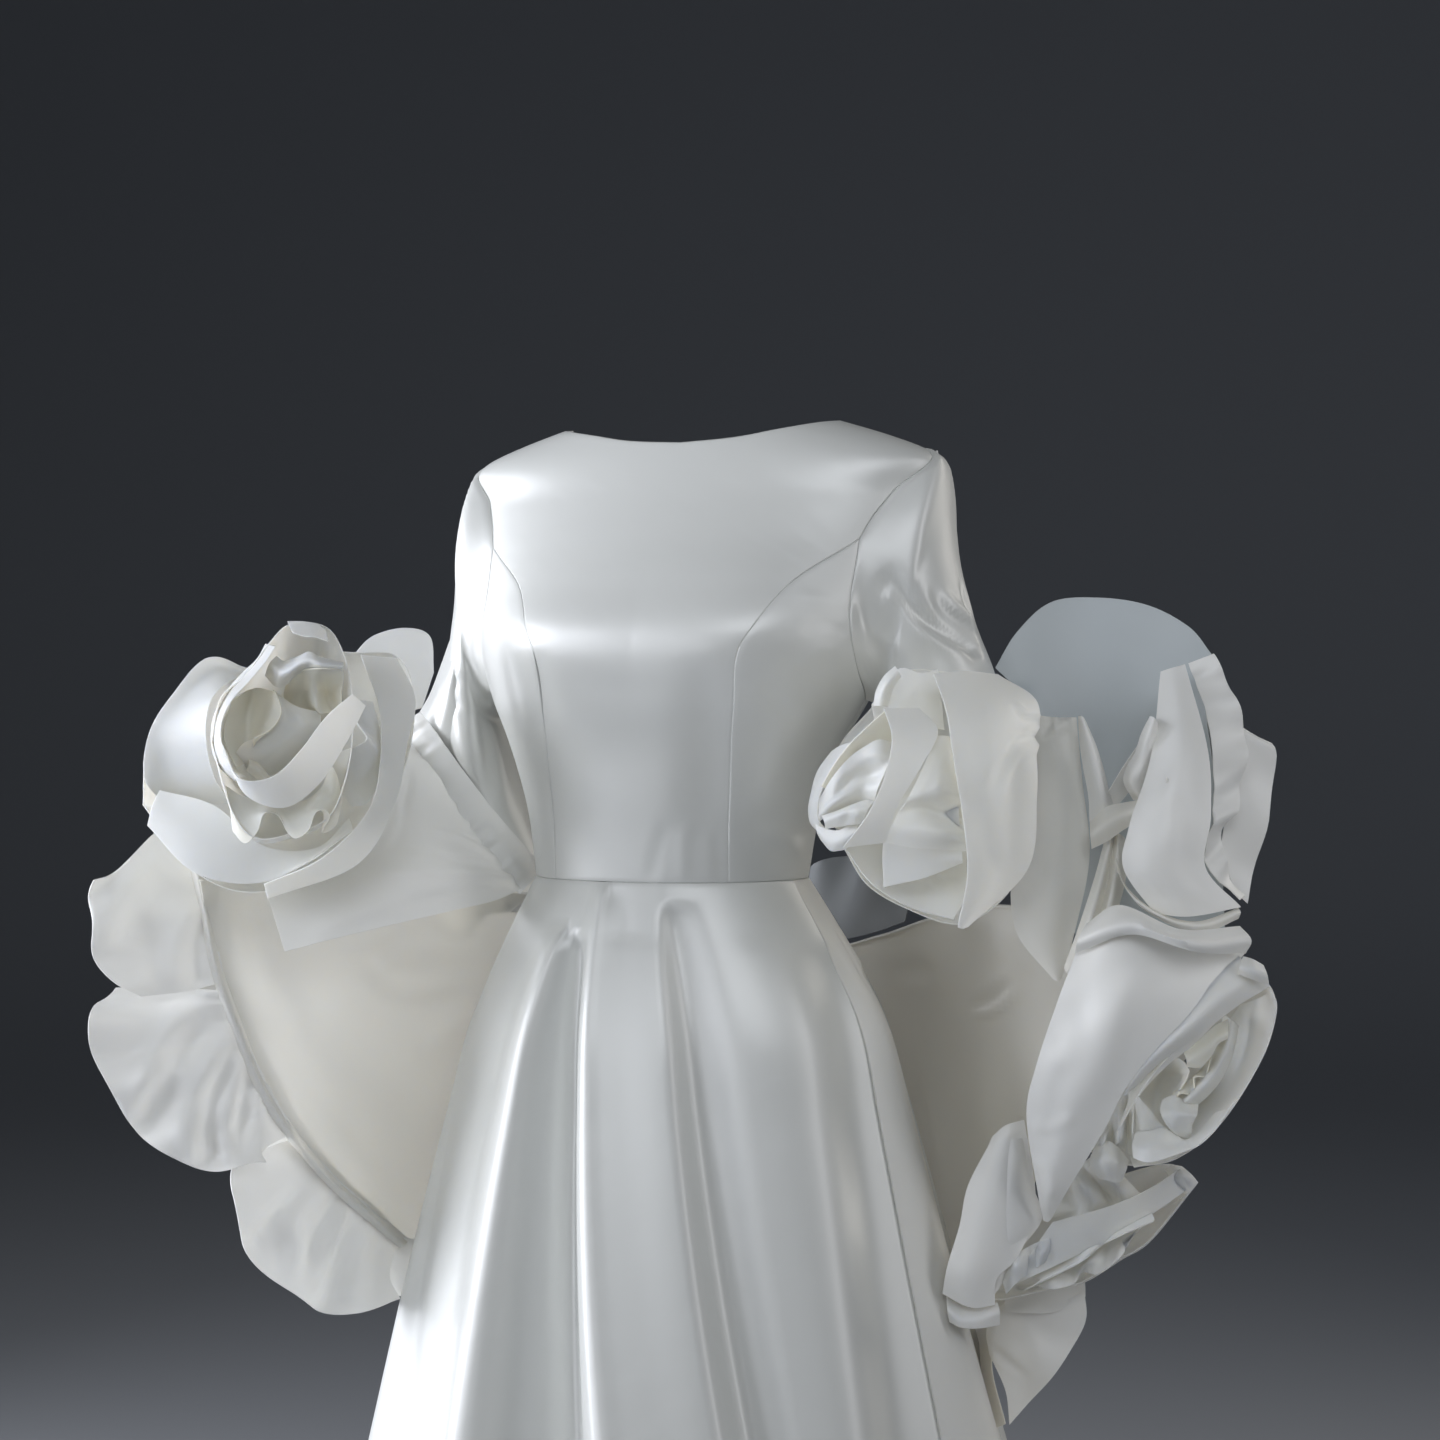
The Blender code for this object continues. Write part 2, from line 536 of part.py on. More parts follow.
def outwards(place, cells, turn=0.5):
    """Unit normals of the form that place gives, at each (angle, height) of the cells."""
    rise = 0.5
    out = np.zeros((*cells.shape[:2], 3))
    for i, j in np.ndindex(cells.shape[:2]):
        angle, height = cells[i, j]
        around = place(angle + turn, height) - place(angle - turn, height)
        up = place(angle, height + rise) - place(angle, height - rise)
        out[i, j] = np.cross(around, up)
    return out / np.linalg.norm(out, axis=2, keepdims=True)


def cloth(name, face, wall, ring=False, inwards=1.0, out=None, colour=(0.84, 0.83, 0.80)):
    """One closed body: the face of the cloth and its reverse a wall apart, with its cut edges closed."""
    rows, columns = face.shape[:2]
    if out is None:
        out = normals(face, ring)
    front = face + (1.0 - inwards) * wall * out
    back = face - inwards * wall * out
    points = np.concatenate([front.reshape(-1, 3), back.reshape(-1, 3)]) * MM
    half = rows * columns

    def at(i, j, side):
        return side * half + i * columns + j % columns

    faces = []
    last = columns if ring else columns - 1
    for i in range(rows - 1):
        for j in range(last):
            faces.append((at(i, j, 0), at(i, j + 1, 0), at(i + 1, j + 1, 0), at(i + 1, j, 0)))
            faces.append((at(i, j, 1), at(i + 1, j, 1), at(i + 1, j + 1, 1), at(i, j + 1, 1)))
    for j in range(last):
        faces.append((at(0, j, 0), at(0, j, 1), at(0, j + 1, 1), at(0, j + 1, 0)))
        faces.append((at(rows - 1, j, 0), at(rows - 1, j + 1, 0), at(rows - 1, j + 1, 1),
                      at(rows - 1, j, 1)))
    if not ring:
        end = columns - 1
        for i in range(rows - 1):
            faces.append((at(i, 0, 0), at(i + 1, 0, 0), at(i + 1, 0, 1), at(i, 0, 1)))
            faces.append((at(i, end, 0), at(i, end, 1), at(i + 1, end, 1), at(i + 1, end, 0)))
    mesh = bpy.data.meshes.new(name)
    mesh.from_pydata([tuple(p) for p in points], [], faces)
    solid = bmesh.new()
    solid.from_mesh(mesh)
    bmesh.ops.triangulate(solid, faces=solid.faces[:])
    bmesh.ops.recalc_face_normals(solid, faces=solid.faces[:])
    solid.to_mesh(mesh)
    solid.free()
    mesh.shade_smooth()
    mesh.set_sharp_from_angle(angle=math.radians(RIM_ANGLE))
    mesh.materials.append(finish(name, colour))
    thing = bpy.data.objects.new(name, mesh)
    bpy.context.scene.collection.objects.link(thing)
    return thing


def torso_grid(cells):
    return np.array([[on_torso(angle, height) for angle, height in row] for row in cells])


def mirrored(points):
    return np.asarray(points, float) * np.array([-1.0, 1.0])


def front_edge():
    """The left edge of the centre front from waist to shoulder: princess seam, then armhole."""
    seam = through(PRINCESS, SEAM_CELLS["princess"])
    return np.vstack([seam, through(ARMHOLE_TOP, SEAM_CELLS["armhole_top"])[1:]])


def bodice():
    edge = front_edge()
    neck = np.vstack([[ARMHOLE_TOP[-1]], through(NECK_FRONT, SEAM_CELLS["neck"])])
    top = np.vstack([mirrored(neck), neck[::-1][1:]])
    bottom = np.linspace(mirrored(edge[0]), edge[0], len(top))
    cells = patch(bottom, edge, top, mirrored(edge))
    grid = torso_grid(cells)
    cloth("bodice_front", trim(grid, PANEL_PULL), WALL, out=outwards(on_torso, cells))
    seam = through(PRINCESS, SEAM_CELLS["princess"])
    side = np.linspace((90.0, WAIST), ARMHOLE_LOW[0], SEAM_CELLS["side"] + 1)
    low = through(ARMHOLE_LOW, SEAM_CELLS["armhole_low"])
    hip = np.linspace(seam[0], side[0], SEAM_CELLS["armhole_low"] + 1)
    half = patch(hip, side, low[::-1], seam)
    back = through(ARMHOLE_BACK, SEAM_CELLS["armhole_back"])
    outer = np.vstack([side, back[1:]])
    middle = np.linspace((180.0, WAIST), NECK_BACK[-1], len(outer))
    nape = np.vstack([[ARMHOLE_BACK[-1]], through(NECK_BACK, SEAM_CELLS["side_front"])])
    waist = np.linspace(outer[0], middle[0], len(nape))
    rear = patch(waist, middle, nape, outer)
    for side_name, turn in (("left", 1.0), ("right", -1.0)):
        for name, cells in (("bodice_side_front_", half), ("bodice_back_", rear)):
            turned = cells * np.array([turn, 1.0])
            if turn < 0.0:
                turned = turned[:, ::-1]
            cloth(name + side_name, trim(torso_grid(turned), PANEL_PULL), WALL,
                  out=outwards(on_torso, turned))


def armhole(turn):
    """Points of the armhole from the shoulder down its front, under the arm and up its back."""
    front = through(ARMHOLE_TOP, SEAM_CELLS["armhole_top"])[::-1]
    low = through(ARMHOLE_LOW, SEAM_CELLS["armhole_low"])[::-1]
    back = through(ARMHOLE_BACK, SEAM_CELLS["armhole_back"])
    return np.vstack([front, low[1:], back[1:-1]]) * np.array([turn, 1.0])


def sleeves():
    for name, rings in SLEEVES.items():
        turn = 1.0 if name.endswith("left") else -1.0
        loop = armhole(turn)[None]
        first = torso_grid(loop)[0]
        count = len(first)
        front = SEAM_CELLS["armhole_top"] + SEAM_CELLS["armhole_low"]
        turns = [math.pi * i / front if i <= front else
                 math.pi * (1.0 + (i - front) / (count - front)) for i in range(count)]
        grid = [first]
        for outer_x, outer_z, inner_x, inner_z, centre_y, half_depth in rings:
            outer = np.array([outer_x, centre_y, outer_z], float)
            inner = np.array([inner_x, centre_y, inner_z], float)
            centre = (outer + inner) / 2.0
            grid.append([centre + math.cos(t) * (outer - inner) / 2.0
                         - math.sin(t) * np.array([0.0, half_depth, 0.0]) for t in turns])
        grid = np.array(grid)
        grid[0] += pull(grid[0], grid[1], SLEEVE_PULL)
        out = turn * normals(grid, ring=True)
        out[0] += outwards(on_torso, loop)[0]
        out[0] /= np.linalg.norm(out[0], axis=1, keepdims=True)
        cloth(name, grid, WALL, ring=True, out=out)


def skirt():
    top = WAIST - SEAM_GAP
    fall = np.linspace(0.0, 1.0, SKIRT_ROWS + 1) ** ROW_SPREAD
    heights = top + (HEM - top) * fall
    for name, (first, last, out) in SKIRT_PANELS.items():
        columns = skirt_columns(first, last)
        cells = np.array([[(angle_at(low, height), height) for low in columns] for height in heights])
        grid = np.zeros((*cells.shape[:2], 3))
        for i, j in np.ndindex(grid.shape[:2]):
            edge = math.cos(0.5 * math.pi * (columns[j] - first) / (last - first))
            grid[i, j] = on_skirt(*cells[i, j], out * edge * min(1.0, fall[i] * STRIP_START))
        cloth(name, trim(grid, PANEL_PULL, "lr"), WALL, out=outwards(on_skirt, cells, turn=1.5))


def from_arms(points):
    """Points in the frame of the arms, as points of the dress."""
    points = np.asarray(points, float)
    turn = math.radians(ARMS_TURN)
    across, away, up = points[..., 0], points[..., 1], points[..., 2]
    return np.stack([across * math.cos(turn) - away * math.sin(turn),
                     across * math.sin(turn) + away * math.cos(turn), up], axis=-1)


def loft(edges, along, between):
    """A grid through the edges, in order, with as many cells along and between them as given."""
    curves = np.array([through(edge, along) for edge in edges])
    return np.stack([through(curves[:, j], between) for j in range(along + 1)], axis=1)


def drape():
    along, between = DRAPE_CELLS
    grid = from_arms(loft(DRAPE, along, between))
    for name, (first, last) in DRAPE_PANELS.items():
        cloth(name, trim(grid[:, first:last + 1], PANEL_PULL, "lr"), WALL, inwards=0.5,
              out=normals(grid)[:, first:last + 1])


def laid_cloth():
    for name, (along, between, edges) in LAID.items():
        grid = loft(edges, along, between)
        waves, depth = RIPPLES.get(name, (0, 0.0))
        if waves:
            out = normals(grid)
            for i in range(between + 1):
                for j in range(along + 1):
                    wave = math.sin(2.0 * math.pi * waves * j / along + RIPPLE_START)
                    grid[i, j] += depth * (i / between) ** RIPPLE_GROWTH * wave * out[i, j]
        cloth(name, from_arms(grid), TRIM_WALL, inwards=0.5)


def cups():
    """Rounds of petals joined at the foot of a rose: each a bowl with a waved, uneven lip."""
    for name, (foot, around, up, lip) in CUPS.items():
        ring = through(list(lip) + [lip[0]], around)[:-1]
        middle = ring.mean(axis=0)
        grid = np.zeros((up + 1, around, 3))
        for i in range(up + 1):
            share = i / up
            spread = CUP_FOOT + (1.0 - CUP_FOOT) * math.sin(0.5 * math.pi * share)
            rise = 1.0 - math.cos(0.5 * math.pi * share)
            for j in range(around):
                flat = np.array(foot) + (ring[j] - middle) * spread * np.array([1.0, 0.0, 1.0])
                flat += (middle - np.array(foot)) * rise * np.array([1.0, 0.0, 1.0])
                flat[1] = foot[1] + (ring[j][1] - foot[1]) * rise
                grid[i, j] = flat
        cloth(name, from_arms(grid), TRIM_WALL, ring=True, inwards=0.5)


def hearts():
    for name, (centre, opens, inside, outside, turns, length, flare) in HEARTS.items():
        axis = np.array(opens) / np.linalg.norm(opens)
        first = np.cross(axis, [0.0, 0.0, 1.0])
        first /= np.linalg.norm(first)
        second = np.cross(axis, first)
        along, across = HEART_CELLS["along"], HEART_CELLS["across"]
        grid = np.zeros((across + 1, along + 1, 3))
        for j in range(along + 1):
            share = j / along
            turn = 2.0 * math.pi * turns * share
            for i in range(across + 1):
                rise = i / across
                radius = inside + (outside - inside) * share
                radius *= HEART_FORM["foot"] + (1.0 - HEART_FORM["foot"] + flare) * rise
                wave = HEART_FORM["waves"] * turn
                radius *= 1.0 + HEART_FORM["wide"] * rise * math.sin(wave + HEART_FORM["start"])
                reach = length * rise * (1.0 - HEART_FORM["taper"] * share)
                reach += HEART_FORM["high"] * rise * math.sin(wave)
                grid[i, j] = (np.array(centre) + axis * reach
                              + radius * (math.cos(turn) * first + math.sin(turn) * second))
        cloth(name, from_arms(grid), TRIM_WALL, inwards=0.5)


clear_scene()
bodice()
sleeves()
skirt()
drape()
laid_cloth()
cups()
hearts()
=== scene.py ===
import math

import bmesh
import bpy
import numpy as np
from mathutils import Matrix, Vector, noise


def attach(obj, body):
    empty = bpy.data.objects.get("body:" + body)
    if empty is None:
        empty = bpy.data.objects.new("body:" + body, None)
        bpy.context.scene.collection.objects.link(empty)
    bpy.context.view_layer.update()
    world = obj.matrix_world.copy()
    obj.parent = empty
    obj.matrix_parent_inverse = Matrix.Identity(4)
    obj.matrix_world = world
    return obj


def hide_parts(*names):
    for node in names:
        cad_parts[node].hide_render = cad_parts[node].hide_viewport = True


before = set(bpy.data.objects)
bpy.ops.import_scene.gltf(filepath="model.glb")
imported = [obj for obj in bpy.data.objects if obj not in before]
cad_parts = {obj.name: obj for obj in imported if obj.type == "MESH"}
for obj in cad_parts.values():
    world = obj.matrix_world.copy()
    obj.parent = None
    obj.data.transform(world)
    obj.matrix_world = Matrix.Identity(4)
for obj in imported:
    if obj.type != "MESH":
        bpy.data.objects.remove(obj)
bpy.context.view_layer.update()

# Wedding dress in heavy ivory satin. Lengths in the tables are millimetres; X points to the wearer's left,
# Y to the back, Z up, and the origin lies between the shoulders.
MM = 0.001
WALL = 1.2                # satin with its facing
TRIM_WALL = 0.9           # petals and flounces
WAIST = -385.0
HEM = -1500.0
LOW_FOLD = -864.0         # height at which the table of folds gives their low angle
ARMS_TURN = 19.0          # degrees from the chest to the plane in which both forearms are held out
NEVER_ZERO = 1e-9         # keeps a division away from nothing
FAR_OFF = 1e9             # further than any part of the dress

# How finely the cloth is modelled
CELL = 5.0                # about how long a cell of the cloth is
SKIRT_CELL = 7.5
TRIM_CELL = 3.5
PETAL_CELL = 2.0
LEAST_CELLS = 8           # along the shortest piece
CURVE_STEPS = 24          # fine steps between two points of a smooth curve
MEASURE_STEPS = 40        # steps along an edge when its length is taken
LIP_STEPS = 60            # the same for the lip of a cup
CROSS_STEPS = 4           # places along its edges at which a piece's width is taken
CREASE_STEPS = 20
SKIRT_ROWS = 120
ROW_SPREAD = 1.15         # rows lie closer near the waist
SKIRT_GIRTH = 330.0       # mm of hem for each radian, for the number of cells round
SHOULDER_CELLS = 16
ARMHOLE_CELLS = dict(top=22, low=26, back=44)
DRAPE_COLUMNS = 26
DRAPE_FINE = 6            # cells in each column of the drape
DRAPE_DEPTH = 420.0       # about how deep the drape is, for the number of cells down it

# The torso: centre, half width, depth to the front and to the back of the section at each height
TORSO = [
    # height, centre_x, centre_y, half_width, front, back
    (-385, -26, -25, 117, 96, 88),
    (-330, -25, -24, 126, 100, 94),
    (-271, -24, -22, 146, 107, 104),
    (-235, -21, -20, 164, 116, 112),
    (-186, -18, -18, 180, 124, 118),
    (-141, -14, -15, 187, 108, 114),
    (-105, -12, -12, 192, 92, 106),
    (-70, -8, -10, 195, 76, 92),
    (-31, -4, -8, 193, 60, 74),
    (-18, -4, -8, 160, 54, 66),
    (-5, -4, -8, 119, 48, 58),
]
# Fullness of the bust over the torso: its place, how far it spreads and how far it stands out
CUP = dict(angle=31.0, height=-190.0, across=20.0, up=52.0, fullness=7.0)

# Seams of the bodice as (angle from centre front, height) on the torso, for one side
SIDE_SEAM = 90.0
BACK_SEAM = 180.0
EDGE_DIES = 3             # how fast the bow of a waist or neck edge dies away into the panel
PRINCESS = [(40, -385), (35.5, -300), (28.5, -215), (31.5, -178), (39.5, -141), (57, -108)]
ARMHOLE_TOP = [(57, -108), (61, -84), (72, -54), (90, -31)]
ARMHOLE_LOW = [(90, -238), (73, -214), (61, -170), (57, -108)]
ARMHOLE_BACK = [(90, -238), (108, -205), (119, -150), (116, -90), (106, -52), (90, -31)]
NECK_FRONT = [(90, -5), (57, -9), (33, -15), (15, -22), (0, -25)]
NECK_BACK = [(90, -5), (122, -10), (146, -17), (164, -24), (180, -27)]

# Rings of each sleeve: its outer point, its inner point, depth of its centre, half its depth
SLEEVES = {
    "sleeve_right": [
        # outer_x, outer_z, inner_x, inner_z, centre_y, half_depth
        (-214, -47, -197, -246, 3, 62),
        (-220, -88, -201, -254, 4, 58),
        (-228, -130, -198, -262, 6, 55),
        (-236, -170, -193, -280, 9, 53),
        (-244, -210, -186, -304, 12, 53),
        (-251, -242, -174, -338, 16, 53),
        (-256, -271, -153, -394, 20, 50),
    ],
    "sleeve_left": [
        (204, -47, 157, -244, 3, 60),
        (209, -90, 163, -249, 3, 57),
        (215, -130, 168, -258, 3, 54),
        (225, -168, 171, -272, 4, 52),
        (240, -205, 172, -290, 4, 52),
        (251, -240, 172, -315, 0, 50),
    ],
}

# The skirt: centre, half width, depth to the front and to the back
SKIRT = [
    # height, centre_x, centre_y, half_width, front, back
    (-385, -26, -25, 117, 96, 88),
    (-424, -25, -22, 139, 112, 112),
    (-500, -23, -14, 177, 145, 150),
    (-576, -24, -8, 197, 166, 176),
    (-686, -25, -4, 226, 192, 206),
    (-864, -24, 0, 274, 236, 256),
    (-1180, -22, 0, 362, 316, 346),
    (-1500, -20, 0, 450, 396, 436),
]
# Folds below the waist: how they deepen down to LOW_FOLD, and how they deepen and fan out beneath it
FOLD_GROWTH = dict(early=0.36, deepen=0.35, fan=0.2)
STRIP_START = 6.0         # the strip along the side panel's edge is full width a sixth of the way down
SKIRT_FOLDS = [
    # low_angle, top_angle, top_height, depth (a ridge stands out, a valley is below 0)
    (-167, -168, -450, -18),
    (-146, -150, -450, 18),
    (-124, -130, -450, -20),
    (-104, -112, -450, 17),
    (-84, -96, -450, -14),
    (-52, -72, -500, 6),
    (-42, -60, -600, -2),
    (-34, -50, -560, 6),
    (-27, -38, -560, 8),
    (-20.5, -24, -425, 34),
    (-17.5, -23, -430, 26),
    (-13.5, -21.5, -430, 0),
    (-9, -20.5, -430, -14),
    (-6, -20, -430, -26),
    (-3.5, -19, -430, -36),
    (5.5, -11, -385, 21),
    (10, -8, -400, 15),
    (17, 0, -430, 9),
    (25, 10, -430, 6),
    (31.5, 16, -405, -28),
    (39, 30, -395, -4),
    (47, 50, -430, 8),
    (61, 70, -440, -16),
    (84, 84, -470, 8),
    (106, 106, -460, -14),
    (128, 128, -450, 17),
    (150, 149, -450, -20),
    (171, 170, -450, 17),
]
SKIRT_PANELS = {
    # name: first and last angle low down, how far its first edge stands out, how far it runs under the next
    "skirt_front": (-92, 70, 0.0, 3.0),
    "skirt_side_left": (70, 117, 3.0, 0.0),
    "skirt_back_left": (117, 180, 0.0, 0.0),
    "skirt_back_right": (-180, -92, 0.0, 0.0),
}

# Cloth laid between edges. The points are (across, away, up) in the frame of the arms, which is the frame
# of the dress turned by ARMS_TURN about Z: across runs from the right hand to the left, away to the back.
DRAPE = [
    # its edges from the top to the bottom, each from the right hand round the back to the left
    [(-415, -93, -384), (-359, -35, -391), (-268, 35, -395), (-188, 110, -405), (-103, 182, -419),
     (-58, 235, -428), (3, 258, -429), (59, 245, -442), (108, 192, -461), (151, 120, -446),
     (199, 60, -424), (253, 0, -411), (298, -45, -428)],
    [(-398, -90, -475), (-341, -45, -486), (-270, 50, -497), (-192, 155, -517), (-103, 227, -525),
     (-59, 275, -530), (3, 295, -533), (65, 272, -530), (118, 202, -522), (169, 130, -514),
     (217, 65, -498), (262, 5, -492), (302, -45, -486)],
    [(-366, -73, -565), (-321, -15, -570), (-265, 80, -588), (-195, 195, -605), (-104, 262, -619),
     (-60, 305, -626), (3, 322, -628), (70, 295, -624), (130, 220, -608), (179, 140, -597),
     (218, 75, -587), (255, 15, -578), (282, -40, -570)],
    [(-315, -43, -636), (-280, 60, -654), (-238, 160, -677), (-181, 245, -697), (-106, 296, -711),
     (-61, 332, -722), (8, 345, -725), (75, 310, -718), (138, 232, -704), (189, 155, -689),
     (224, 90, -677), (252, 30, -658), (272, -25, -639)],
    [(-266, 30, -705), (-241, 145, -744), (-206, 215, -770), (-164, 270, -796), (-107, 315, -816),
     (-61, 350, -829), (8, 362, -836), (85, 325, -828), (148, 252, -802), (199, 170, -784),
     (225, 100, -759), (242, 50, -739), (247, 20, -724)],
]
DRAPE_PANELS = {
    # name: its first and last column of cells
    "drape_right": (0, 9),
    "drape_back": (9, 17),
    "drape_left": (17, 26),
}
